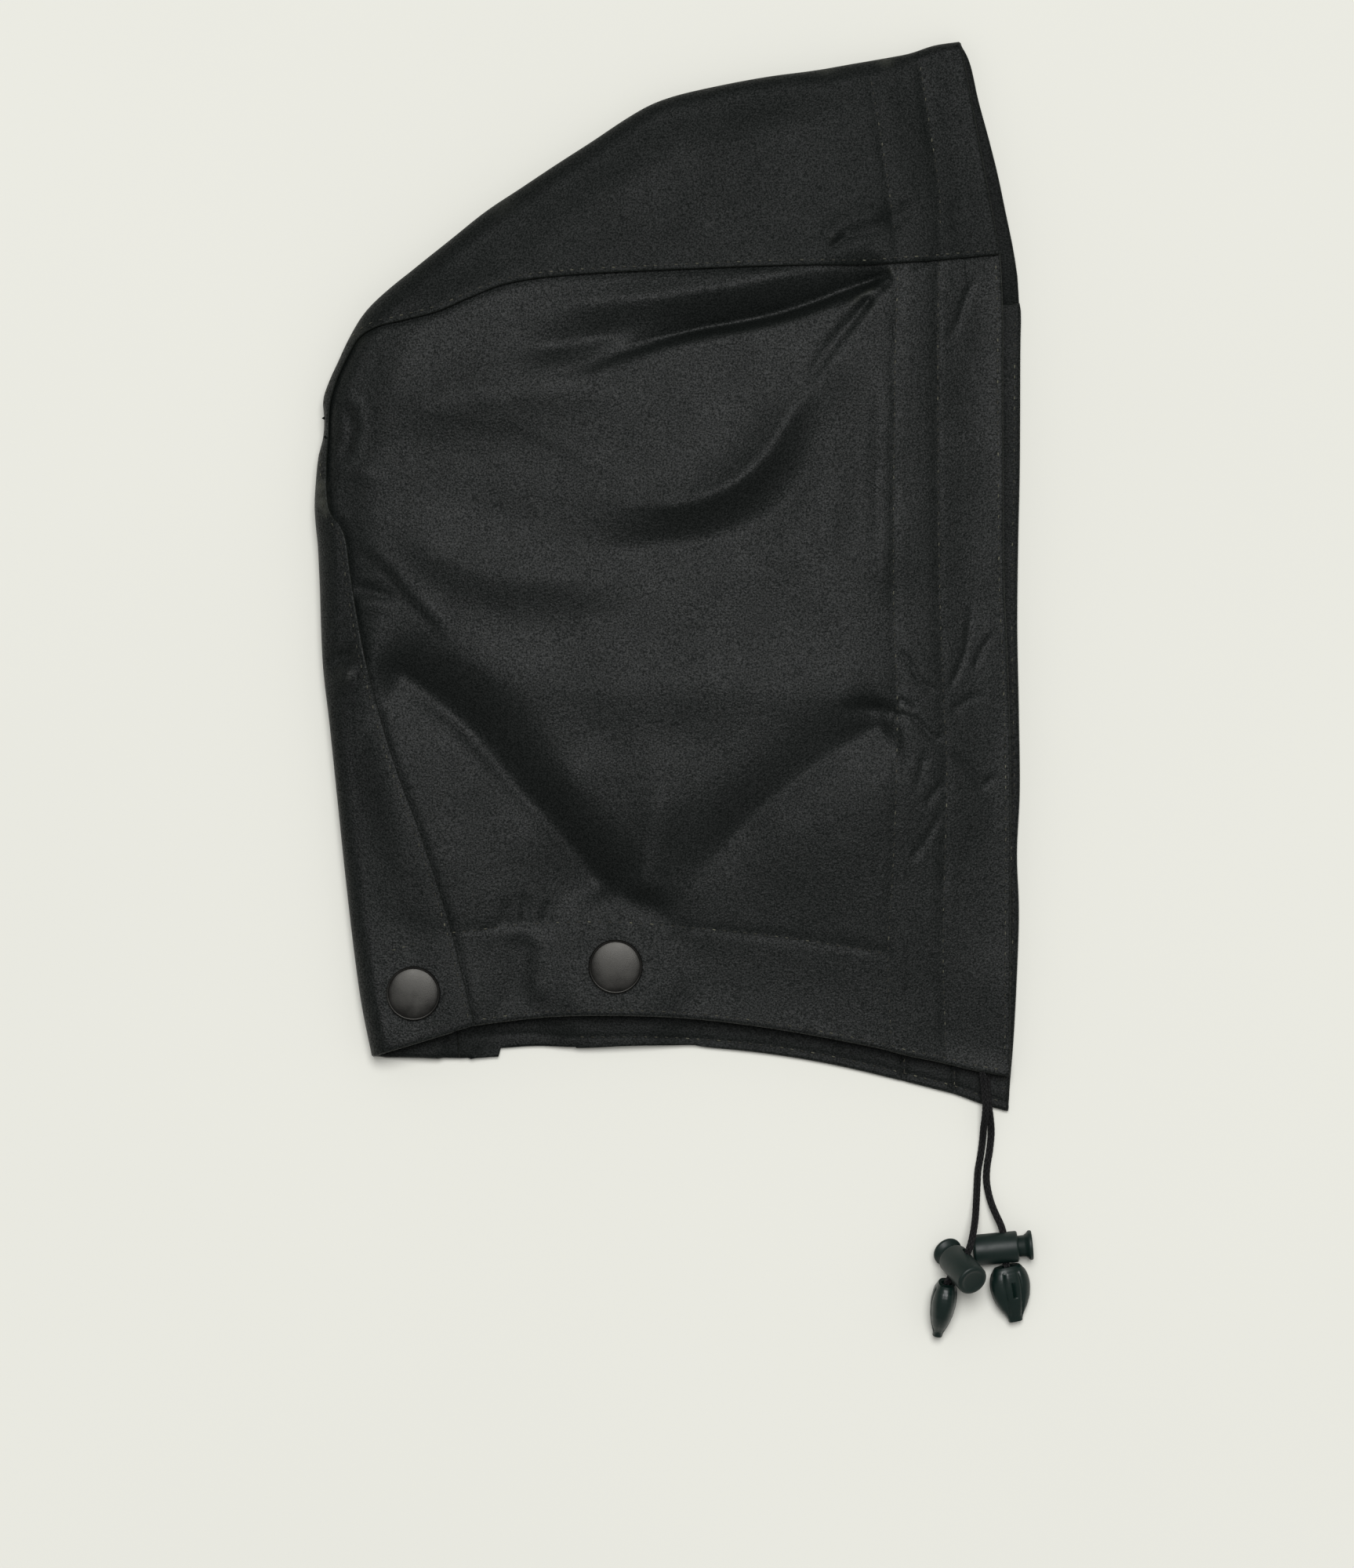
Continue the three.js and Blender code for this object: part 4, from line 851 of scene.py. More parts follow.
def waxed_cotton(settings, inside=False):
    """Close-woven cotton with a wax dressing: mottled, painted paler at its crests, rubbed patches and cut
    edges as wear and as painted highlight, duller inside.
    """
    name = "hood_cotton_inside" if inside else "hood_cotton"
    if name in bpy.data.materials:
        return bpy.data.materials[name]
    material, nodes, place = new_material(name)
    worn = nodes.add("ShaderNodeAttribute", attribute_name="worn").outputs["Fac"]
    clouds = nodes.noise(place, scale=26.0, detail=4.0)
    speckle = nodes.noise(place, scale=1900.0, detail=1.0, roughness=0.6)
    grains = nodes.noise(place, scale=1500.0, detail=2.0, roughness=0.6)
    cloth = settings.cloth_colour
    clouded = nodes.ranged(clouds, low=0.35, high=0.68)
    base = nodes.mix(clouded, shade(cloth, factor=0.93), shade(cloth, factor=1.08))
    flecked = nodes.mix(nodes.ranged(speckle, low=0.38, high=0.72), base, shade(cloth, factor=1.55))
    # Mixes in the paler colour: part wear, part painted highlight on crests, rubbed patches and cut edges.
    rubbed = nodes.mix(nodes.math("MULTIPLY", worn, 0.8), flecked, settings.wear_and_highlight_colour)
    turned = nodes.add("ShaderNodeMapping", {"Vector": place, "Rotation": (0.0, 0.0, WEAVE_SLANT)})
    split = nodes.add("ShaderNodeSeparateXYZ", {"Vector": turned.outputs["Vector"]})
    warp = nodes.math("SINE", nodes.math("MULTIPLY", split.outputs["X"], THREADS_PER_METRE * 2 * math.pi))
    weft = nodes.math("SINE", nodes.math("MULTIPLY", split.outputs["Y"], THREADS_PER_METRE * 2 * math.pi))
    weave = nodes.math("MULTIPLY", warp, weft)
    weave_normal = nodes.bump(weave, distance=0.00001, strength=0.5)
    grain_normal = nodes.bump(grains, distance=0.00020, strength=0.8, normal=weave_normal)
    crumple = nodes.noise(place, scale=190.0, detail=3.0, roughness=0.5)
    normal = nodes.bump(crumple, distance=0.0006, strength=0.2, normal=grain_normal)
    dressing = nodes.noise(place, scale=60.0, detail=3.0)
    matt = nodes.ranged(dressing, low=0.3, high=0.7, to_low=0.50, to_high=0.56)
    roughness = nodes.math("SUBTRACT", matt, nodes.math("MULTIPLY", worn, 0.05))
    least, most = INSIDE_GLOSS if inside else OUTSIDE_GLOSS
    wax = nodes.add("ShaderNodeAttribute", attribute_name="wax").outputs["Fac"]
    speckled = nodes.ranged(speckle, low=0.34, high=0.68, to_low=least, to_high=most)
    gloss = nodes.math("MULTIPLY", speckled, wax)
    shader = nodes.add("ShaderNodeBsdfPrincipled", {
        "Base Color": rubbed, "Roughness": roughness, "Normal": normal, "Specular IOR Level": gloss,
    })
    nodes.finish(shader.outputs[0])
    return material


def stitch_thread(settings):
    """Matt sewing thread, dark, with brighter stretches painted in as highlights."""
    material, nodes, place = new_material("stitch_thread")
    # Pattern of painted highlights along the thread: its bright stretches stand in for glints.
    glint_pattern = nodes.noise(place, scale=240.0, detail=2.0)
    thread = settings.thread_colour
    glint_share = nodes.ranged(glint_pattern, low=0.50, high=0.72)
    colour = nodes.mix(glint_share, shade(thread, factor=0.2), shade(thread, factor=1.3))
    fibres = nodes.noise(place, scale=5200.0, detail=1.0)
    normal = nodes.bump(fibres, distance=0.00005, strength=0.6)
    shader = nodes.add("ShaderNodeBsdfPrincipled", {"Base Color": colour, "Roughness": 0.8, "Normal": normal})
    nodes.finish(shader.outputs[0])
    return material


def gunmetal(settings):
    """Darkened metal with a satin face, rubbed a little paler and smoother in places."""
    material, nodes, place = new_material("gunmetal")
    clouds = nodes.noise(place, scale=220.0, detail=3.0)
    metal = settings.metal_colour
    rubbed = nodes.ranged(clouds, low=0.35, high=0.7)
    colour = nodes.mix(rubbed, shade(metal, factor=0.8), shade(metal, factor=1.15))
    pits = nodes.noise(place, scale=3800.0, detail=2.0, roughness=0.6)
    normal = nodes.bump(pits, distance=0.00004, strength=0.5)
    roughness = nodes.ranged(clouds, low=0.3, high=0.7, to_low=0.30, to_high=0.42)
    shader = nodes.add("ShaderNodeBsdfPrincipled", {
        "Base Color": colour, "Metallic": 0.92, "Roughness": roughness, "Normal": normal,
    })
    nodes.finish(shader.outputs[0])
    return material


# Roughness, least and most, of the locks' and the cord ends' plastic
BARREL_ROUGHNESS = (0.42, 0.52)
GLOSSY_ROUGHNESS = (0.26, 0.38)


def moulded_plastic(settings, name, least_rough, most_rough):
    """Dark moulded plastic with a faintly uneven skin."""
    material, nodes, place = new_material(name)
    clouds = nodes.noise(place, scale=300.0, detail=3.0)
    plastic = settings.plastic_colour
    colour = nodes.mix(clouds, shade(plastic, factor=0.88), shade(plastic, factor=1.14))
    skin = nodes.noise(place, scale=4200.0, detail=2.0, roughness=0.6)
    normal = nodes.bump(skin, distance=0.00003, strength=0.4)
    roughness = nodes.ranged(clouds, low=0.3, high=0.7, to_low=least_rough, to_high=most_rough)
    shader = nodes.add("ShaderNodeBsdfPrincipled", {
        "Base Color": colour, "Roughness": roughness, "Normal": normal, "Specular IOR Level": 0.36,
    })
    nodes.finish(shader.outputs[0])
    return material


def braid(settings):
    """The drawcord's braid, with a fine fuzz that is paler than its ground."""
    material, nodes, place = new_material("hood_braid")
    fuzz = nodes.noise(place, scale=2400.0, detail=3.0, roughness=0.65)
    cord = settings.cord_colour
    fuzzed = nodes.ranged(fuzz, low=0.35, high=0.7)
    colour = nodes.mix(fuzzed, shade(cord, factor=0.7), shade(cord, factor=2.2))
    normal = nodes.bump(fuzz, distance=0.00012, strength=0.6)
    shader = nodes.add("ShaderNodeBsdfPrincipled", {
        "Base Color": colour, "Roughness": 0.6, "Normal": normal, "Specular IOR Level": 0.22,
    })
    nodes.finish(shader.outputs[0])
    return material


class HoodClothSettings(bpy.types.PropertyGroup):
    """Sizes and colours of the cloth."""

    crown_wax: FloatProperty(
        name="Crown wax", description="Share of the wax that is left on the crown", default=0.62,
        min=0.0, max=1.0,
    )
    cloth_wall: FloatProperty(
        name="Cloth", description="Thickness of one layer", default=0.001, unit="LENGTH",
    )
    hem_wall: FloatProperty(
        name="Hem", description="Thickness of a doubled hem", default=0.002, unit="LENGTH",
    )
    lap_width: FloatProperty(
        name="Lap", description="Width of a lapped seam", default=0.0075, unit="LENGTH",
    )
    lap_rise: FloatProperty(
        name="Lap rise", description="Rise of a lapped seam", default=0.0009, unit="LENGTH",
    )
    crease_depth: FloatProperty(name="Crease depth", description="Depth of the creases", default=1.0, min=0.0)
    cloth_colour: FloatVectorProperty(
        name="Cloth colour", description="Colour of the waxed cotton", subtype="COLOR", size=4,
        default=(0.0038, 0.0050, 0.0045, 1.0), min=0.0, max=1.0,
    )
    # Paler colour painted on crests, rubbed patches and cut edges: part wear, part painted highlight.
    wear_and_highlight_colour: FloatVectorProperty(
        name="Rubbed colour", description="Colour of the rubbed crests", subtype="COLOR", size=4,
        default=(0.044, 0.047, 0.038, 1.0), min=0.0, max=1.0,
    )


class HoodStitchSettings(bpy.types.PropertyGroup):
    """Sizes and colour of the stitching."""

    pitch: FloatProperty(
        name="Pitch", description="Length of a stitch and its gap", default=0.0033, unit="LENGTH",
    )
    length: FloatProperty(name="Length", description="Length of a stitch", default=0.0011, unit="LENGTH")
    diameter: FloatProperty(
        name="Thread", description="Diameter of the thread", default=0.00036, unit="LENGTH",
    )
    thread_colour: FloatVectorProperty(
        name="Thread colour", description="Colour of the thread", subtype="COLOR", size=4,
        default=(0.110, 0.108, 0.075, 1.0), min=0.0, max=1.0,
    )


class HoodFittingSettings(bpy.types.PropertyGroup):
    """Colours of the studs, the cord and its fittings, and how finely they are turned."""

    sides: IntProperty(name="Sides", description="Sides of a turned piece", default=56, min=12)
    metal_colour: FloatVectorProperty(
        name="Metal colour", description="Colour of the press studs", subtype="COLOR", size=4,
        default=(0.030, 0.0292, 0.0270, 1.0), min=0.0, max=1.0,
    )
    plastic_colour: FloatVectorProperty(
        name="Plastic colour", description="Colour of the locks and cord ends", subtype="COLOR", size=4,
        default=(0.0028, 0.0110, 0.0088, 1.0), min=0.0, max=1.0,
    )
    cord_colour: FloatVectorProperty(
        name="Cord colour", description="Colour of the drawcord", subtype="COLOR", size=4,
        default=(0.0028, 0.0028, 0.0030, 1.0), min=0.0, max=1.0,
    )


class HoodStageSettings(bpy.types.PropertyGroup):
    """The camera, the floor and the lights."""

    camera_height: FloatProperty(
        name="Camera height", description="Above the floor", default=2.2, unit="LENGTH",
    )
    view_height: FloatProperty(
        name="View", description="Height of the picture on the floor", default=0.5, unit="LENGTH",
    )
    view_across: FloatProperty(
        name="Across", description="Picture's middle across", default=0.0025, unit="LENGTH",
    )
    view_up: FloatProperty(name="Up", description="Picture's middle up", default=-0.06625, unit="LENGTH")
    floor_size: FloatProperty(name="Floor", description="Width of the floor", default=12.0, unit="LENGTH")
    floor_colour: FloatVectorProperty(
        name="Floor colour", description="Colour of the floor", subtype="COLOR", size=4,
        default=(0.80, 0.80, 0.74, 1.0), min=0.0, max=1.0,
    )
    key_power: FloatProperty(
        name="Key light", description="Power of the key light", default=1245.0, unit="POWER",
    )
    fill_strength: FloatProperty(name="Fill", description="Strength of the even light", default=0.31, min=0.0)


SENSOR_WIDTH_MM = 24.0
KEY_LIGHT_PLACE = Vector((0.4, 3.5, 12.0))
KEY_LIGHT_TARGET = Vector((0.0, -0.06, 0.0))
KEY_LIGHT_SIZE = 7.0
FILL_COLOUR = (1.0, 0.995, 0.98, 1.0)


class HOOD_OT_stage(bpy.types.Operator):
    """Make the camera straight above the hood, the floor and the lights"""

    bl_idname = "hood.stage"
    bl_label = "Stage"

    def execute(self, context):
        settings = context.scene.hood_stage
        camera = bpy.data.cameras.new("camera")
        camera.sensor_width = SENSOR_WIDTH_MM
        camera.lens = camera.sensor_width * settings.camera_height / settings.view_height
        eye = bpy.data.objects.new("camera", camera)
        eye.location = (settings.view_across, settings.view_up, settings.camera_height)
        context.scene.collection.objects.link(eye)
        context.scene.camera = eye
        self.floor(context, settings)
        self.lights(context, settings)
        return {"FINISHED"}

    def floor(self, context, settings):
        half = settings.floor_size / 2
        corners = [(-half, -half, 0.0), (half, -half, 0.0), (half, half, 0.0), (-half, half, 0.0)]
        mesh = mesh_from("floor", np.array(corners), np.array([[0, 1, 2, 3]]))
        material, nodes, place = new_material("floor_paper")
        tone = nodes.ranged(nodes.noise(place, scale=3.0, detail=2.0), low=0.3, high=0.7)
        paper = settings.floor_colour
        colour = nodes.mix(tone, shade(paper, factor=0.99), shade(paper, factor=1.01))
        shader = nodes.add("ShaderNodeBsdfPrincipled", {
            "Base Color": colour, "Roughness": 0.9, "Specular IOR Level": 0.2,
        })
        nodes.finish(shader.outputs[0])
        mesh.materials.append(material)
        floor = bpy.data.objects.new("floor", mesh)
        context.scene.collection.objects.link(floor)

    def lights(self, context, settings):
        light = bpy.data.lights.new("key_light", "AREA")
        light.shape = "DISK"
        light.size = KEY_LIGHT_SIZE
        light.energy = settings.key_power
        lamp = bpy.data.objects.new("key_light", light)
        lamp.location = KEY_LIGHT_PLACE
        lamp.rotation_mode = "QUATERNION"
        lamp.rotation_quaternion = (KEY_LIGHT_TARGET - KEY_LIGHT_PLACE).to_track_quat("-Z", "Y")
        context.scene.collection.objects.link(lamp)
        world = bpy.data.worlds.new("room")
        context.scene.world = world
        nodes = NodeTree(world)
        shader = nodes.add("ShaderNodeBackground", {
            "Color": FILL_COLOUR, "Strength": settings.fill_strength,
        })
        nodes.finish(shader.outputs[0], "ShaderNodeOutputWorld")
        context.scene.view_settings.view_transform = "Standard"


def from_corner(right_mm, up_mm, height_mm):
    """A point given from the hood's lowest front corner."""
    corner = hood_place([FRONT_CORNER_PX])[0]
    return Vector((corner[0] + right_mm * MM, corner[1] + up_mm * MM, height_mm * MM))


def way_of(pose):
    """The axis that a bearing and a fall give, and the way across it after its turn."""
    bearing, fall, turn = (math.radians(value) for value in (pose.bearing, pose.fall, pose.turn))
    axis = Vector((math.cos(bearing) * math.cos(fall), math.sin(bearing) * math.cos(fall), -math.sin(fall)))
    level = Vector((-math.sin(bearing), math.cos(bearing), 0.0))
    across = level * math.cos(turn) + axis.cross(level) * math.sin(turn)
    if across.y < 0:
        across.negate()
    return axis, across


def matrix_of(pose, place):
    """Local +Y along the pose's axis and local +Z along the way across it."""
    axis, across = way_of(pose)
    side = axis.cross(across)
    return Matrix.Translation(place) @ Matrix((side, axis, across)).transposed().to_4x4()


def end_section(along):
    rows = np.array(END_SECTIONS)
    return np.interp(along, rows[:, 0], rows[:, 1]), np.interp(along, rows[:, 0], rows[:, 2])


def end_matrix(side):
    """Where a cord end lies: its mouth from the corner, lowered until it meets the surface."""
    pose = END_POSES[side]
    low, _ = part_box(f"cord_end_{side}")
    upright = matrix_of(pose, from_corner(pose.right, pose.up, 0.0))
    rotation = upright.to_3x3()
    lowest = min((rotation @ Vector(point)).z for point in end_ring_points())
    return Matrix.Translation((0.0, 0.0, low.z - lowest)) @ upright


END_PLAIN_SIDES = 14


def end_outline(wide, thick, sides):
    """Points round a cord end's section, across and up in millimetres, from shares of its half sizes."""
    angles = np.linspace(0.0, 2 * math.pi, sides, endpoint=False)
    x = END_WIDTH_MM / 2 * wide * np.sign(np.cos(angles)) * np.abs(np.cos(angles)) ** END_FULLNESS
    z = END_THICKNESS_MM / 2 * thick * np.sign(np.sin(angles)) * np.abs(np.sin(angles)) ** END_FULLNESS
    return x, z


def end_ring_points():
    """Points round a cord end's plain sections, in its own frame."""
    points = []
    for along, wide, thick in END_SECTIONS:
        for x, z in zip(*end_outline(wide, thick, END_PLAIN_SIDES)):
            points.append((x * MM, along * END_LENGTH_MM * MM, z * MM))
    return points


CORD_CURVE_STEPS = 24
CORD_STATIONS = 321


def cord_path(side):
    """The line of a free cord: its points, through its lock's cross hole and into its cord end."""
    pose = LOCK_POSES[side]
    axis, across = way_of(pose)
    hole = from_corner(pose.right, pose.up, pose.height) + axis * (HOLE_FROM_DOME_MM * MM)
    points = [from_corner(*row) for row in (CORD_RIGHT_MM if side == "right" else CORD_LEFT_MM)]
    points += [hole + across * (share * BARREL_RADIUS_MM * MM) for share in (1, 0, -1)]
    place = end_matrix(side)
    points += [place @ Vector((0.0, depth * END_BORE_DEPTH_MM * MM, 0.0)) for depth in CORD_END_GUIDES]
    line = curve_through([tuple(point) for point in points], CORD_CURVE_STEPS)
    return at_shares(line, np.linspace(0.0, 1.0, CORD_STATIONS))


BRAID_STRANDS = 8
BRAID_PITCH_MM = 3.4
BRAID_RELIEF = 0.26
BRAID_CROWN = 1.35
CORD_SIDES = 32


def braided_tube(name, line, diameter):
    """A round braid along a line: two sets of strands that wind both ways and pass over one another."""
    tangents = np.gradient(line, axis=0)
    tangents /= np.linalg.norm(tangents, axis=1, keepdims=True)
    side = np.cross(tangents[0], (0.0, 0.0, 1.0))
    angles = np.linspace(0.0, 2 * math.pi, CORD_SIDES, endpoint=False)
    along = np.concatenate([[0.0], np.cumsum(np.linalg.norm(np.diff(line, axis=0), axis=1))])
    rings = []
    for point, tangent, run in zip(line, tangents, along):
        side = side - (side @ tangent) * tangent
        side /= np.linalg.norm(side)
        other = np.cross(tangent, side)
        wind = 2 * math.pi * run / (BRAID_PITCH_MM * MM)
        over = np.cos(BRAID_STRANDS / 2 * angles - wind) ** 2
        under = np.cos(BRAID_STRANDS / 2 * angles + wind) ** 2
        radius = diameter / 2 * (1.0 - BRAID_RELIEF + BRAID_RELIEF * BRAID_CROWN * np.maximum(over, under))
        ring = np.cos(angles)[:, None] * side + np.sin(angles)[:, None] * other
        rings.append(point + radius[:, None] * ring)
    return capped_tube(name, rings)


def tube_faces(rings, sides):
    """The four-cornered faces of a tube, as indices of the points of its rings."""
    index = np.arange(rings * sides).reshape(rings, sides)
    after = np.roll(index, -1, axis=1)
    return np.stack([index[:-1], after[:-1], after[1:], index[1:]], axis=-1).reshape(-1, 4)


def capped_tube(name, rings):
    """A closed tube through rings of points, with a point at the middle of each end."""
    count, sides = len(rings), len(rings[0])
    points = np.vstack([*rings, rings[0].mean(axis=0)[None], rings[-1].mean(axis=0)[None]])
    mesh = bpy.data.meshes.new(name)
    faces = tube_faces(count, sides).tolist()
    first, last = count * sides, count * sides + 1
    for step in range(sides):
        after = (step + 1) % sides
        faces.append([first, after, step])
        faces.append([last, (count - 1) * sides + step, (count - 1) * sides + after])
    mesh.from_pydata(points.tolist(), [], faces)
    mesh.validate()
    tidy_normals(mesh)
    return mesh


SHARP_ANGLE = math.radians(40.0)


def tidy_normals(mesh):
    """Turns all faces outwards, smooth except across sharp edges."""
    body = bmesh.new()
    body.from_mesh(mesh)
    bmesh.ops.recalc_face_normals(body, faces=body.faces)
    for face in body.faces:
        face.smooth = True
    for edge in body.edges:
        if len(edge.link_faces) == 2 and edge.calc_face_angle(0.0) > SHARP_ANGLE:
            edge.smooth = False
    body.to_mesh(mesh)
    body.free()


class HOOD_OT_drawcords(bpy.types.Operator):
    """Make the two free ends of the braided drawcord"""

    bl_idname = "hood.drawcords"
    bl_label = "Drawcords"

    def execute(self, context):
        material = braid(context.scene.hood_fittings)
        for side in ("right", "left"):
            cord = braided_tube(f"drawcord_braid_{side}", cord_path(side), CORD_DIAMETER_MM * MM)
            add_piece(cord.name, cord, material, "hood", (f"drawcord_{side}",))
        return {"FINISHED"}


def declare_cords():
    for side in ("right", "left"):
        line = cord_path(side)


# Share of the seam, from the face opening, that the top edge of a side panel takes up
CROWN_SHARE = 22.0 / 46.0
# How far a side panel runs under the centre panel's lap, and the most that this takes of the way to the fold
LAP_UNDER_MM = 2.2
LAP_UNDER_SHARE = 0.35


def under_lap(seam):
    """A seam moved under the lapping edge of the centre panel, less where the fold is near."""
    gap = nearest(FOLD, seam)[0]
    run = np.gradient(seam, axis=0)
    run /= np.linalg.norm(run, axis=1, keepdims=True)
    towards = np.stack([run[:, 1], -run[:, 0]], axis=1)
    return seam + towards * np.minimum(LAP_UNDER_MM * MM, LAP_UNDER_SHARE * gap)[:, None]


def side_places(seam, front, neck, rows, columns):
    """Places of a side panel's net, blended between its four edges, from the nape up and forwards."""
    crown_shares = CROWN_SHARE * (1.0 - columns)
    back_shares = CROWN_SHARE + (1.0 - CROWN_SHARE) * (1.0 - rows)
    crown, back = at_shares(seam, crown_shares), at_shares(seam, back_shares)
    front_edge, neck_edge = at_shares(front, 1.0 - rows), at_shares(neck, columns)
    up, across = rows[:, None, None], columns[None, :, None]
    places = (1 - up) * neck_edge[None] + up * crown[None]
    places = places + (1 - across) * back[:, None] + across * front_edge[:, None]
    places -= (1 - across) * (1 - up) * neck_edge[0] + across * (1 - up) * neck_edge[-1]
    places -= (1 - across) * up * crown[0] + across * up * crown[-1]
    return places


def lifted(places, heights):
    """A net of points from a net of places in plan and their heights."""
    return np.concatenate([places, heights.reshape(places.shape[:2])[..., None]], axis=2)


# The crown, which has its own share of wax, begins this far up and is reached over this length
CROWN_START_MM = 52.0
CROWN_FADE_MM = 40.0


def add_panel(name, net, normals, wall, node, settings, wax=1.0):
    mesh, inside = cloth_mesh(name, net, normals, wall)
    points = np.empty(3 * len(mesh.vertices), np.float32)
    mesh.vertices.foreach_get("co", points)
    crown = smooth((points[1::3] - CROWN_START_MM * MM) / (CROWN_FADE_MM * MM))
    mesh.attributes.new("wax", "FLOAT", "POINT").data.foreach_set("value", 1.0 - (1.0 - wax) * crown)
    piece = add_piece(name, mesh, waxed_cotton(settings), "hood", (node,))
    mesh.materials.append(waxed_cotton(settings, inside=True))
    mesh.polygons.foreach_set("material_index", inside)


# Rows and columns of the side panels' nets, each a count and the bands in which they lie closer
RIGHT_ROWS = (240, (0.0, 0.13, 0.7), (0.28, 0.56, 0.9), (0.9, 1.0, 0.9))
RIGHT_COLUMNS = (196, (0.0, 0.02, 1.0), (0.78, 1.0, 1.9))
LEFT_ROWS = (160, (0.0, 0.12, 1.0))
LEFT_COLUMNS = (130, (0.8, 1.0, 1.0))
# How much of its thickness the right side's cloth loses under the lap
LAP_THINNING = 0.45


class HOOD_OT_right_side(bpy.types.Operator):
    """Make the right side panel, on top, with its creases, its hems and its drawcord tunnel"""

    bl_idname = "hood.right_side"
    bl_label = "Right side"

    def execute(self, context):
        settings = context.scene.hood_cloth
        seam = under_lap(SEAM_RIGHT)
        front = np.vstack([seam[:1], FRONT_RIGHT[1:]])
        neck = np.vstack([seam[-1:], NECK_RIGHT[1:]])
        places = side_places(seam, front, neck, crowded(*RIGHT_ROWS), crowded(*RIGHT_COLUMNS))
        flat = places.reshape(-1, 2)
        seam_side = nearest(SEAM_RIGHT, flat)[1]
        lap = np.where(seam_side > 0, 0.0, 1.0)
        net = lifted(places, upper_height(flat, settings) + groove(SEAM_RIGHT, flat, *SEAM_GROOVE_MM) * MM)
        wall = wall_at(flat, True, settings) * (1.0 - LAP_THINNING * lap)
        add_panel(
            "hood_side_right", net, net_normals(net, 1), wall.reshape(net.shape[:2]), "side_panel_right",
            settings,
        )
        return {"FINISHED"}


class HOOD_OT_left_side(bpy.types.Operator):
    """Make the left side panel, which lies on the surface, with the step in its neck hem"""

    bl_idname = "hood.left_side"
    bl_label = "Left side"

    def execute(self, context):
        settings = context.scene.hood_cloth
        seam = under_lap(SEAM_LEFT)
        front = np.vstack([seam[:1], FRONT_LEFT[1:]])
        neck = np.vstack([np.array([[seam[-1, 0], NECK_LEFT[0, 1]]]), NECK_LEFT[1:]])
        seam[-1] = neck[0]
        step = hood_place([(NAPE_STEP_PX, PHOTO_BOTTOM_PX)])[0, 0]
        step_share = (step - neck[0, 0]) / length_of(neck)
        step_columns = (step_share - NAPE_STEP_SHARE, step_share + NAPE_STEP_SHARE)
        rows = crowded(*LEFT_ROWS)
        columns = np.sort(np.append(crowded(*LEFT_COLUMNS), step_columns))
        places = side_places(seam, front, neck, rows, columns)
        drop = NAPE_DROP_PX * PIXEL * smooth((step - places[..., 0]) / (NAPE_STEP_MM * MM) + 0.5)
        places[..., 1] -= drop * np.clip(1.0 - rows[:, None] / NAPE_DROP_SHARE, 0.0, 1.0)
        flat = places.reshape(-1, 2)
        net = lifted(places, lower_height(flat))
        wall = wall_at(flat, False, settings)
        for row in (TUNNEL_INNER_LEFT, TUNNEL_OUTER_LEFT):
            wall += groove(row, flat, *TUNNEL_LEFT_GROOVE_MM) * MM
        wall += groove(beside(NECK_LEFT, NECK_STITCH_LEFT_MM), flat, *NECK_LEFT_GROOVE_MM) * MM
        add_panel(
            "hood_side_left", net, net_normals(net, -1), wall.reshape(net.shape[:2]), "side_panel_left",
            settings,
        )
        return {"FINISHED"}


# Rows of the centre panel's net along the fold, and its columns in the lap and on either side of the fold
CENTRE_ROWS = (430, (0.0, 0.17, 1.2))
LAP_COLUMNS = 12
UPPER_COLUMNS = 46
LOWER_COLUMNS = 30
FRONT_EASE_SHARE = 0.14
# Width of the lap's own columns, and the most that they take of the way to the fold
LAP_COLUMNS_MM = 9.0
LAP_COLUMNS_SHARE = 0.4
# The lap's rise dies away between these distances from its edge
LAP_EASE = (2.5 * MM, 15.0 * MM)


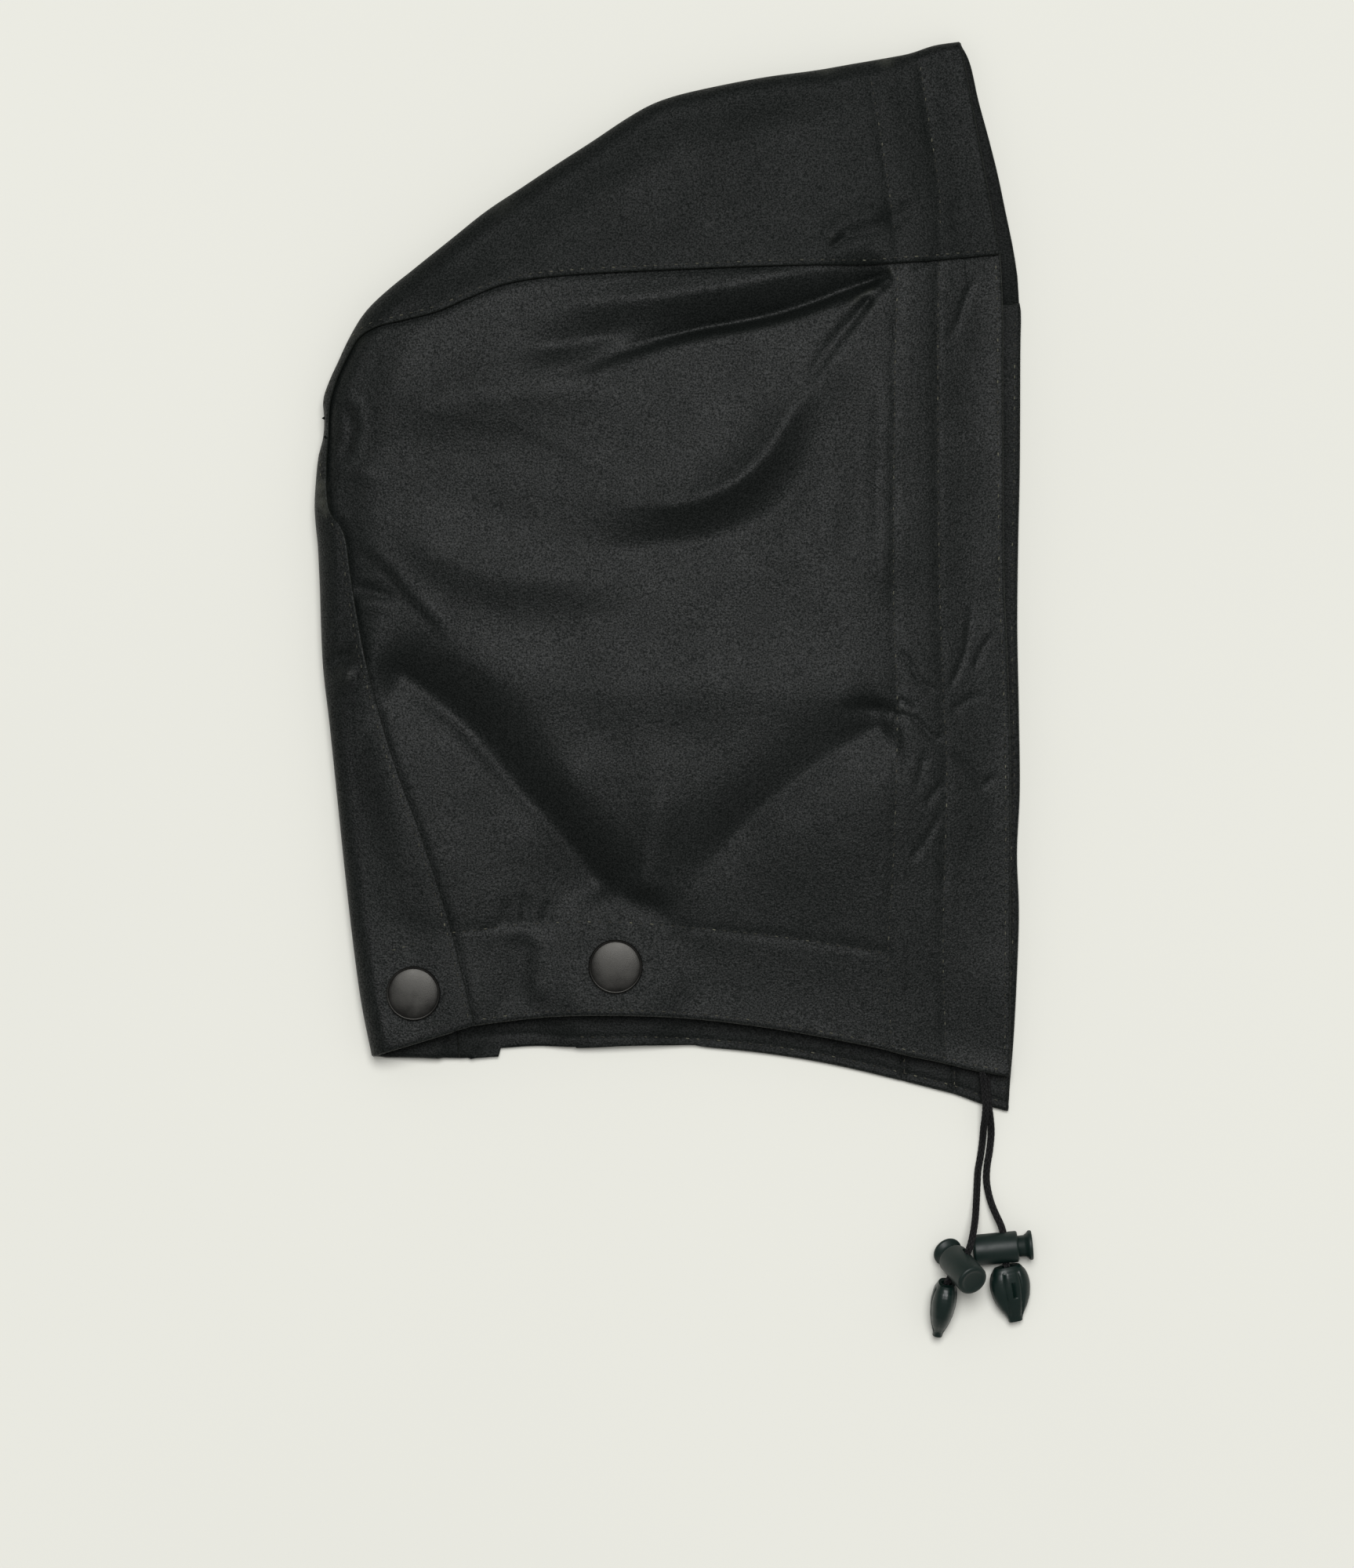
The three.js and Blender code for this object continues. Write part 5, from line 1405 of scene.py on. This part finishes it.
class HOOD_OT_centre(bpy.types.Operator):
    """Make the centre panel, folded round the crown, the back of the head and the nape"""

    bl_idname = "hood.centre"
    bl_label = "Centre panel"

    def execute(self, context):
        settings = context.scene.hood_cloth
        shares = crowded(*CENTRE_ROWS)
        fold, right, left = (at_shares(line, shares) for line in (FOLD, SEAM_RIGHT, SEAM_LEFT))
        right_shares, left_shares = self.column_shares(fold, right)
        right_net = right[:, None] + (fold - right)[:, None] * right_shares[..., None]
        left_net = fold[:, None] + (left - fold)[:, None] * left_shares[None, :, None]
        bowed = at_shares(FRONT_CROWN_LEFT, left_shares) - left_net[0]
        ease = (1.0 - smooth(shares / FRONT_EASE_SHARE))[:, None, None]
        left_net = left_net + bowed[None] * ease
        upper = lifted(right_net, upper_height(right_net.reshape(-1, 2), settings))
        lower = lifted(left_net, lower_height(left_net.reshape(-1, 2)))
        net = np.concatenate([upper, lower], axis=1)
        normals = net_normals(net, 1)
        places = net.reshape(-1, 3)[:, :2]
        is_upper = np.arange(net.shape[1])[None] < upper.shape[1]
        size = net.shape[:2]
        wall_upper = wall_at(places, True, settings).reshape(size)
        wall_lower = wall_at(places, False, settings).reshape(size)
        wall = np.where(is_upper, wall_upper, wall_lower)
        gap_right = nearest(SEAM_RIGHT, places)[0].reshape(size)
        gap_left = nearest(SEAM_LEFT, places)[0].reshape(size)
        gap = np.where(is_upper, gap_right, gap_left)
        lap = settings.lap_rise * (1.0 - smooth((gap - LAP_EASE[0]) / (LAP_EASE[1] - LAP_EASE[0])))
        net = net + normals * np.where(is_upper, lap, 0.0)[..., None]
        wall = np.where(gap < settings.lap_width, np.minimum(wall, settings.cloth_wall), wall)
        add_panel(
            "hood_centre", net, net_normals(net, 1), wall, "centre_panel",
            settings, settings.crown_wax,
        )
        return {"FINISHED"}

    def column_shares(self, fold, right):
        """Shares from the seam to the fold, close together in the lap and at the fold."""
        width = np.linalg.norm(fold - right, axis=1)
        lap = (np.minimum(LAP_COLUMNS_MM * MM, LAP_COLUMNS_SHARE * width) / width)[:, None]
        in_lap = np.linspace(0.0, 1.0, LAP_COLUMNS, endpoint=False)
        beyond = 1.0 - (1.0 - np.linspace(0.0, 1.0, UPPER_COLUMNS, endpoint=False)) ** 2
        right_shares = np.concatenate([lap * in_lap, lap + (1 - lap) * beyond], axis=1)
        left_shares = np.linspace(0.0, 1.0, LOWER_COLUMNS + 1) ** 2
        return right_shares, left_shares


# How far a stitch stands up, as a share of its thread, and the step over which the cloth's tilt is measured
STITCH_LIFT = 0.18
TILT_STEP_MM = 0.4
# A stitch's slant across its row as a mean and a spread, its length from shortest to longest, and how far its
# ends dip into the cloth, as a share of the thread's radius
STITCH_SLANT = (0.10, 0.05)
STITCH_LENGTHS = (0.85, 1.1)
STITCH_DIP = 2.4
# A stitch's rings: share of its length, share of its radius
STITCH_RINGS = ((-0.50, 0.30), (-0.40, 0.85), (0.0, 1.0), (0.40, 0.85), (0.50, 0.30))
STITCH_SIDES = 6


def stitch_points(line, surface, lift, settings):
    """Centre, run and normal of each stitch along a line in plan, on a surface given by its height."""
    count = max(2, int(length_of(line) / settings.pitch))
    shares = (np.arange(count) + 0.5) / count
    centres = at_shares(line, shares)
    reach = 0.5 * settings.length
    ahead = at_shares(line, np.clip(shares + reach / length_of(line), 0.0, 1.0))
    behind = at_shares(line, np.clip(shares - reach / length_of(line), 0.0, 1.0))
    flat = (ahead - behind) / np.linalg.norm(ahead - behind, axis=1, keepdims=True)
    run = tilted(surface, centres, flat)
    cross = tilted(surface, centres, np.stack([-flat[:, 1], flat[:, 0]], axis=1))
    run /= np.linalg.norm(run, axis=1, keepdims=True)
    normal = np.cross(run, cross)
    normal /= np.linalg.norm(normal, axis=1, keepdims=True)
    normal *= np.sign(normal[:, 2:])
    centre = np.concatenate([centres, surface(centres)[:, None]], axis=1) + normal * lift
    return centre, run, normal


def tilted(surface, centres, ways):
    """Directions in plan laid on a surface that is given by its height."""
    step = TILT_STEP_MM * MM * ways
    rise = surface(centres + step) - surface(centres - step)
    return np.concatenate([2 * step, rise[:, None]], axis=1)


def stitch_mesh(name, rows, settings, seed):
    """Short threads, a capsule for each stitch, joined into one mesh."""
    centre, run, normal = (np.vstack(parts) for parts in zip(*rows))
    random = np.random.default_rng(seed)
    across = np.cross(run, normal)
    across /= np.linalg.norm(across, axis=1, keepdims=True)
    slant = random.normal(*STITCH_SLANT, len(centre))[:, None]
    run = run + across * slant
    run /= np.linalg.norm(run, axis=1, keepdims=True)
    across = np.cross(run, normal)
    length = settings.length * random.uniform(*STITCH_LENGTHS, len(centre))
    radius = settings.diameter / 2
    angles = np.linspace(0.0, 2 * math.pi, STITCH_SIDES, endpoint=False)
    rings = []
    for along, wide in STITCH_RINGS:
        middle = centre + run * (along * length)[:, None] - normal * (abs(along) ** 3 * STITCH_DIP * radius)
        ring = middle[:, None] + radius * wide * (
            np.cos(angles)[None, :, None] * across[:, None] + np.sin(angles)[None, :, None] * normal[:, None]
        )
        rings.append(ring)
    points = np.stack(rings, axis=1)
    per_stitch = len(STITCH_RINGS) * STITCH_SIDES
    body = tube_faces(len(STITCH_RINGS), STITCH_SIDES)
    last = (len(STITCH_RINGS) - 1) * STITCH_SIDES
    near_cap = np.array([[0, 1, 2, 3], [0, 3, 4, 5]])
    far_cap = last + near_cap[:, ::-1]
    faces = np.vstack([body[:, ::-1], near_cap, far_cap])
    starts = np.arange(len(centre))[:, None, None] * per_stitch
    mesh = mesh_from(name, points.reshape(-1, 3), (faces[None] + starts).reshape(-1, 4))
    tidy_normals(mesh)
    return mesh


def beside(line, offset_mm):
    """A line moved to its left by an offset."""
    run = np.gradient(line, axis=0)
    run /= np.linalg.norm(run, axis=1, keepdims=True)
    return line + np.stack([-run[:, 1], run[:, 0]], axis=1) * offset_mm * MM


def part_of(line, start, end):
    """The part of a line between two shares of its length."""
    return at_shares(line, np.linspace(start, end, int(len(line) * (end - start))))


class HOOD_OT_stitching(bpy.types.Operator):
    """Make the rows of stitching along the seams, the drawcord tunnel and the hems"""

    bl_idname = "hood.stitching"
    bl_label = "Stitching"

    def execute(self, context):
        cloth, settings = context.scene.hood_cloth, context.scene.hood_stitches

        def top(places):
            return upper_height(places, cloth)

        def inner_face(places):
            return lower_height(places) + wall_at(places, False, cloth)

        flush = settings.diameter * STITCH_LIFT
        groups = {
            "seam_stitches_right": (top, cloth.lap_rise + flush, (
                part_of(beside(SEAM_RIGHT, SEAM_STITCH_MM), start=0.004, end=0.996),
            )),
            "tunnel_stitches_right": (top, flush, (
                part_of(TUNNEL_INNER, start=0.01, end=0.99),
                part_of(TUNNEL_OUTER, start=0.01, end=0.99),
            )),
            "hem_stitches_right": (top, flush, (
                part_of(beside(FRONT_RIGHT, FRONT_STITCH_RIGHT_MM), start=0.01, end=0.985),
                part_of(beside(NECK_RIGHT, NECK_STITCH_RIGHT_MM), start=0.01, end=0.985),
                part_of(NECK_HEM_LINE, start=0.005, end=0.995),
            )),
            "hem_stitches_left": (inner_face, flush, (
                part_of(beside(FRONT_LEFT, FRONT_STITCH_LEFT_MM), start=0.01, end=0.98),
                part_of(beside(NECK_LEFT, NECK_STITCH_LEFT_MM), start=0.2, end=0.985),
                TUNNEL_INNER_LEFT,
                TUNNEL_OUTER_LEFT,
            )),
        }
        thread = stitch_thread(settings)
        for seed, (name, (surface, lift, lines)) in enumerate(groups.items(), STITCH_SEED):
            rows = [stitch_points(line, surface, lift, settings) for line in lines]
            add_piece(name, stitch_mesh(name, rows, settings, seed), thread, "hood")
        return {"FINISHED"}


def turned_mesh(name, profile_mm, sides, place):
    """A body turned about its own +Y from rows of radius and way along, from axis to axis."""
    rows = [(radius * MM, along * MM) for radius, along in profile_mm]
    angles = np.linspace(0.0, 2 * math.pi, sides, endpoint=False)
    points = [(0.0, rows[0][1], 0.0)]
    for radius, along in rows[1:-1]:
        points += [(radius * math.cos(angle), along, radius * math.sin(angle)) for angle in angles]
    points.append((0.0, rows[-1][1], 0.0))
    faces = []
    rings = len(rows) - 2
    for step in range(sides):
        after = (step + 1) % sides
        faces.append([0, 1 + after, 1 + step])
        for ring in range(rings - 1):
            base, above = 1 + ring * sides, 1 + (ring + 1) * sides
            faces.append([base + step, base + after, above + after, above + step])
        base = 1 + (rings - 1) * sides
        faces.append([len(points) - 1, base + step, base + after])
    mesh = bpy.data.meshes.new(name)
    mesh.from_pydata(points, [], faces)
    mesh.transform(place)
    mesh.validate()
    tidy_normals(mesh)
    return mesh


def cut_mesh(mesh, cutter):
    """The mesh with the cutter's body taken away."""
    whole = bpy.data.objects.new("whole", mesh)
    tool = bpy.data.objects.new("tool", cutter)
    for thing in (whole, tool):
        bpy.context.scene.collection.objects.link(thing)
    cut = whole.modifiers.new("cut", "BOOLEAN")
    cut.operation = "DIFFERENCE"
    cut.solver = "EXACT"
    cut.object = tool
    bpy.context.view_layer.update()
    evaluated = whole.evaluated_get(bpy.context.evaluated_depsgraph_get())
    result = bpy.data.meshes.new_from_object(evaluated)
    for thing in (whole, tool):
        bpy.data.objects.remove(thing)
    name = mesh.name
    bpy.data.meshes.remove(mesh)
    bpy.data.meshes.remove(cutter)
    result.name = name
    tidy_normals(result)
    return result


# Press stud cap and socket: radius, and height from the face of the cloth, in millimetres
CAP_PROFILE = (
    (0.0, 2.20), (2.0, 2.18), (4.0, 2.11), (5.6, 2.00), (6.8, 1.87), (7.5, 1.76), (7.72, 1.70), (7.86, 1.80),
    (8.0, 1.93), (8.2, 1.96), (8.42, 1.80), (8.58, 1.4), (8.58, 0.9), (8.45, 0.45), (8.0, 0.32),
    (2.0, 0.32), (2.0, -2.6), (1.5, -2.95), (0.0, -2.95),
)
SOCKET_PROFILE = (
    (2.4, -2.3), (2.4, -3.0), (3.0, -3.02), (3.6, -3.3), (3.6, -4.0), (3.8, -4.12), (5.2, -4.12), (5.9, -4.0),
    (6.2, -3.75), (6.3, -3.4), (6.3, -2.5), (6.1, -2.3), (2.4, -2.3),
)


class HOOD_OT_studs(bpy.types.Operator):
    """Make the four press studs: a bare cap outside the cloth and a socket inside it"""

    bl_idname = "hood.studs"
    bl_label = "Press studs"

    def execute(self, context):
        settings = context.scene.hood_fittings
        metal = gunmetal(settings)
        for name, (centre, upper) in STUDS.items():
            seat = (UPPER_SEAT_MM if upper else LOWER_SEAT_MM) * MM
            turn = Matrix.Rotation(math.radians(90.0 if upper else -90.0), 4, "X")
            place = Matrix.Translation((centre[0], centre[1], seat)) @ turn
            cap = turned_mesh(f"press_cap_{name}", CAP_PROFILE, settings.sides, place)
            add_piece(cap.name, cap, metal, "hood", (f"stud_cap_{name}",))
            socket = ring_mesh(f"press_socket_{name}", SOCKET_PROFILE, settings.sides, place)
            add_piece(socket.name, socket, metal, "hood", (f"stud_socket_{name}",))
        return {"FINISHED"}


def ring_mesh(name, profile_mm, sides, place):
    """A ring turned about its own +Y from a closed profile."""
    rows = np.array(profile_mm[:-1]) * MM
    angles = np.linspace(0.0, 2 * math.pi, sides, endpoint=False)
    points = np.stack([
        rows[:, 0][None] * np.cos(angles)[:, None],
        np.broadcast_to(rows[:, 1][None], (sides, len(rows))),
        rows[:, 0][None] * np.sin(angles)[:, None],
    ], axis=-1)
    index = np.arange(sides * len(rows)).reshape(sides, len(rows))
    after = np.roll(index, -1, axis=0)
    faces = np.stack([index, np.roll(index, -1, axis=1), np.roll(after, -1, axis=1), after], axis=-1)
    mesh = mesh_from(name, points.reshape(-1, 3), faces.reshape(-1, 4))
    mesh.transform(place)
    tidy_normals(mesh)
    return mesh


ROUND_END_STEPS = 12


def stadium_cutter(name, width_mm, low_mm, high_mm, place):
    """A bar across a lock, with round ends, that cuts the way for the cord."""
    half, reach = width_mm / 2, 2.0 * BARREL_RADIUS_MM
    section = []
    for centre, start in ((low_mm + half, math.pi), (high_mm - half, 0.0)):
        for step in range(ROUND_END_STEPS + 1):
            angle = start + math.pi * step / ROUND_END_STEPS
            section.append((half * math.cos(angle), centre + half * math.sin(angle)))
    rings = [np.array([(x * MM, y * MM, z * MM) for x, y in section]) for z in (-reach, reach)]
    mesh = capped_tube(name, rings)
    mesh.transform(place)
    return mesh


# A barrel, as radius and way along in millimetres: the shallow hollow in its domed end, the round edge about
# that end from this angle in radians, its wall with the lip of the open end, and its bore
DOME_PROFILE = ((0.0, 0.35), (2.6, 0.33), (3.3, 0.22), (3.55, 0.06), (3.75, 0.0))
DOME_EDGE_MM = 0.9
DOME_EDGE_START = 0.35
DOME_EDGE_STEPS = 6
WALL_PROFILE = (
    (BARREL_RADIUS_MM, 6.0), (BARREL_RADIUS_MM, 13.7), (4.94, 13.95), (4.75, 14.22), (4.5, BARREL_LENGTH_MM),
)
BORE_PROFILE = (
    (3.85, BARREL_LENGTH_MM), (3.6, 14.15), (BORE_RADIUS_MM, 13.8),
    (BORE_RADIUS_MM, BARREL_LENGTH_MM - BORE_DEPTH_MM), (0.0, BARREL_LENGTH_MM - BORE_DEPTH_MM),
)
# A push button, in the same way: its shank in the barrel, its flaring neck and its disc with a dished face
SHANK_START_MM = BARREL_LENGTH_MM - SHANK_INSIDE_MM
FLARE_START_MM = BARREL_LENGTH_MM + NECK_RUN_MM
DISC_START_MM = FLARE_START_MM + FLARE_RUN_MM
DISC_END_MM = DISC_START_MM + BUTTON_THICKNESS_MM
BUTTON_PROFILE = (
    (0.0, SHANK_START_MM), (2.8, SHANK_START_MM), (SHANK_RADIUS_MM, SHANK_START_MM + 0.3),
    (SHANK_RADIUS_MM, BARREL_LENGTH_MM - 0.6), (3.35, BARREL_LENGTH_MM), (3.42, FLARE_START_MM - 0.5),
    (3.6, FLARE_START_MM - 0.15), (4.1, DISC_START_MM - 0.4), (4.6, DISC_START_MM),
    (BUTTON_RADIUS_MM, DISC_START_MM + 0.25), (BUTTON_RADIUS_MM, DISC_END_MM - 0.4),
    (4.66, DISC_END_MM - 0.18), (4.45, DISC_END_MM - 0.02), (4.2, DISC_END_MM), (3.4, DISC_END_MM - 0.04),
    (3.0, DISC_END_MM - 0.2), (0.0, DISC_END_MM - 0.25),
)


class HOOD_OT_locks(bpy.types.Operator):
    """Make the two spring cord locks: a barrel and its push button"""

    bl_idname = "hood.locks"
    bl_label = "Cord locks"

    def execute(self, context):
        settings = context.scene.hood_fittings
        plastic = moulded_plastic(settings, "barrel_plastic", *BARREL_ROUGHNESS)
        for side, pose in LOCK_POSES.items():
            place = matrix_of(pose, from_corner(pose.right, pose.up, pose.height))
            barrel = self.barrel(side, settings, place)
            add_piece(barrel.name, barrel, plastic, "hood", (f"lock_barrel_{side}",))
            button = self.button(side, settings, place)
            add_piece(
                button.name, button, plastic, f"button_{side}", (f"lock_plunger_{side}",),
            )
        return {"FINISHED"}

    def barrel(self, side, settings, place):
        """A barrel, open at one end, with a hole across it for the cord."""
        edge = [
            (BARREL_RADIUS_MM - DOME_EDGE_MM * (1 - math.sin(angle)), DOME_EDGE_MM * (1 - math.cos(angle)))
            for angle in np.linspace(DOME_EDGE_START, math.pi / 2, DOME_EDGE_STEPS)
        ]
        profile = [*DOME_PROFILE, *edge, *WALL_PROFILE, *BORE_PROFILE]
        mesh = turned_mesh(f"cord_lock_barrel_{side}", profile, settings.sides, place)
        half = HOLE_LENGTH_MM / 2
        cutter = stadium_cutter(
            "hole", HOLE_WIDTH_MM, HOLE_FROM_DOME_MM - half, HOLE_FROM_DOME_MM + half, place
        )
        return cut_mesh(mesh, cutter)

    def button(self, side, settings, place):
        """A push button with a slot across its shank, long enough for its travel."""
        mesh = turned_mesh(f"cord_lock_button_{side}", BUTTON_PROFILE, settings.sides, place)
        low = HOLE_FROM_DOME_MM - HOLE_WIDTH_MM / 2
        cutter = stadium_cutter("slot", HOLE_WIDTH_MM, low, low + HOLE_WIDTH_MM + PRESS_TRAVEL_MM, place)
        return cut_mesh(mesh, cutter)


END_RINGS = 72
END_SIDES = 72
# Share of the length over which a cord end's sections are eased into each other
END_EASE = 0.06
# The raised band along both faces: half width and its taper, rise, and softness of its edge
BAND_HALF_MM = 2.1
BAND_TAPER = 0.4
BAND_RISE_MM = 0.10
BAND_SOFT_MM = 0.35
# The groove on each side of the band: distance from the band, half width and depth
GROOVE_BESIDE_MM = 0.4
GROOVE_HALF_MM = 0.36
GROOVE_DEPTH_MM = 0.42
# Shares of the length between which the band and its grooves run, and the share over which they begin
BAND_START = 0.05
BAND_END = 0.93
BAND_EASE = 0.06
# The mould's parting line round the narrow sides
PARTING_HALF_MM = 0.22
PARTING_DEPTH_MM = 0.18
# The window in the band: its middle as a share of the length, its reach, how steeply that is used up and how
# softly it ends, and then its half width, the softness of its sides and its depth
WINDOW_MIDDLE = 0.42
WINDOW_REACH = 0.36
WINDOW_STEEPNESS = 2.4
WINDOW_END_SOFT = 0.05
WINDOW_HALF_MM = 0.62
WINDOW_SIDE_SOFT_MM = 0.18
WINDOW_DEPTH_MM = 0.9
# How steeply a face turns into a narrow side, and where, by the share of the half thickness
FACE_STEEPNESS = 4.0
FACE_START = 1.6
# A relief is never spread over less than this distance from the middle
LEAST_REACH_MM = 0.5
BORE_SIDES = 28
BORE_LEAD_MM = 2.0


class HOOD_OT_cord_ends(bpy.types.Operator):
    """Make the two moulded cord ends, with their raised bands, grooves and windows"""

    bl_idname = "hood.cord_ends"
    bl_label = "Cord ends"

    def execute(self, context):
        settings = context.scene.hood_fittings
        glossy = moulded_plastic(settings, "glossy_plastic", *GLOSSY_ROUGHNESS)
        for side in END_POSES:
            place = end_matrix(side)
            mesh = capped_tube(f"cord_toggle_{side}", self.rings())
            mesh.transform(place)
            mesh = cut_mesh(mesh, self.bore(place))
            add_piece(mesh.name, mesh, glossy, "hood", (f"cord_end_{side}",))
        return {"FINISHED"}

    def rings(self):
        """Rings of points along a cord end, with its relief, in its own frame."""
        rings = []
        for along in np.linspace(0.0, 1.0, END_RINGS):
            wide, thick = self.eased_section(along)
            x, z = end_outline(wide, thick, END_SIDES)
            faced = smooth(np.abs(z) / (END_THICKNESS_MM / 2 * thick) * FACE_STEEPNESS - FACE_START)
            push = self.relief(along, wide, x, z, faced)
            spread = push / np.maximum(np.hypot(x, z), LEAST_REACH_MM) * (1 - faced)
            x, z = x * (1 + spread), z + np.sign(z) * push * faced
            rings.append(np.stack([x * MM, np.full_like(x, along * END_LENGTH_MM * MM), z * MM], axis=1))
        return rings

    def eased_section(self, along):
        """Shares of the half width and the half thickness, eased with those a little before and after."""
        near = np.array(end_section(max(0.0, along - END_EASE)))
        far = np.array(end_section(min(1.0, along + END_EASE)))
        return 0.5 * np.array(end_section(along)) + 0.25 * (near + far)

    def relief(self, along, wide, x, z, faced):
        """How far the skin stands out at each point of a ring, in millimetres."""
        half_band = BAND_HALF_MM * (1.0 - BAND_TAPER + BAND_TAPER * wide)
        band = smooth((half_band - np.abs(x)) / BAND_SOFT_MM + 0.5)
        beside_band = np.exp(-(((np.abs(x) - half_band - GROOVE_BESIDE_MM) / GROOVE_HALF_MM) ** 2))
        present = smooth((along - BAND_START) / BAND_EASE) * smooth((BAND_END - along) / BAND_EASE)
        parting = np.exp(-((z / PARTING_HALF_MM) ** 2))
        window = smooth((WINDOW_REACH - abs(along - WINDOW_MIDDLE) * WINDOW_STEEPNESS) / WINDOW_END_SOFT)
        window = window * smooth((WINDOW_HALF_MM - np.abs(x)) / WINDOW_SIDE_SOFT_MM)
        on_face = (BAND_RISE_MM * band - GROOVE_DEPTH_MM * beside_band) * faced
        return (on_face - PARTING_DEPTH_MM * parting) * present - WINDOW_DEPTH_MM * window * faced

    def bore(self, place):
        """The hole that the cord is held in."""
        angles = np.linspace(0.0, 2 * math.pi, BORE_SIDES, endpoint=False)
        circle = np.stack([np.cos(angles), np.zeros_like(angles), np.sin(angles)], axis=1)
        circle = circle * END_BORE_MM / 2 * MM
        rings = [circle - (0.0, BORE_LEAD_MM * MM, 0.0), circle + (0.0, END_BORE_DEPTH_MM * MM, 0.0)]
        mesh = capped_tube("bore", rings)
        mesh.transform(place)
        return mesh


class HOOD_PT_panel(bpy.types.Panel):
    """Lists the operators and the settings of the hood"""

    bl_label = "Hood"
    bl_idname = "HOOD_PT_panel"
    bl_space_type = "VIEW_3D"
    bl_region_type = "UI"
    bl_category = "Hood"

    def draw(self, context):
        for operator in OPERATORS:
            self.layout.operator(operator.bl_idname)
        for group in SETTINGS:
            box = self.layout.box()
            settings = getattr(context.scene, group)
            for name in settings.bl_rna.properties.keys():
                if name not in ("rna_type", "name"):
                    box.prop(settings, name)


SETTINGS = {
    "hood_cloth": HoodClothSettings,
    "hood_stitches": HoodStitchSettings,
    "hood_fittings": HoodFittingSettings,
    "hood_stage": HoodStageSettings,
}
OPERATORS = (
    HOOD_OT_stage, HOOD_OT_drawcords, HOOD_OT_right_side, HOOD_OT_left_side, HOOD_OT_centre,
    HOOD_OT_stitching, HOOD_OT_studs, HOOD_OT_locks, HOOD_OT_cord_ends,
)


def register():
    for group in SETTINGS.values():
        bpy.utils.register_class(group)
    for operator in OPERATORS:
        bpy.utils.register_class(operator)
    bpy.utils.register_class(HOOD_PT_panel)
    for name, group in SETTINGS.items():
        setattr(bpy.types.Scene, name, PointerProperty(type=group))


def unregister():
    for name in SETTINGS:
        delattr(bpy.types.Scene, name)
    bpy.utils.unregister_class(HOOD_PT_panel)
    for operator in reversed(OPERATORS):
        bpy.utils.unregister_class(operator)
    for group in SETTINGS.values():
        bpy.utils.unregister_class(group)


def main():
    register()
    bpy.ops.hood.stage()
    bpy.ops.hood.drawcords()
    bpy.ops.hood.right_side()
    bpy.ops.hood.left_side()
    bpy.ops.hood.centre()
    bpy.ops.hood.stitching()
    bpy.ops.hood.studs()
    bpy.ops.hood.locks()
    bpy.ops.hood.cord_ends()
    declare_cords()


if __name__ == "__main__":
    main()
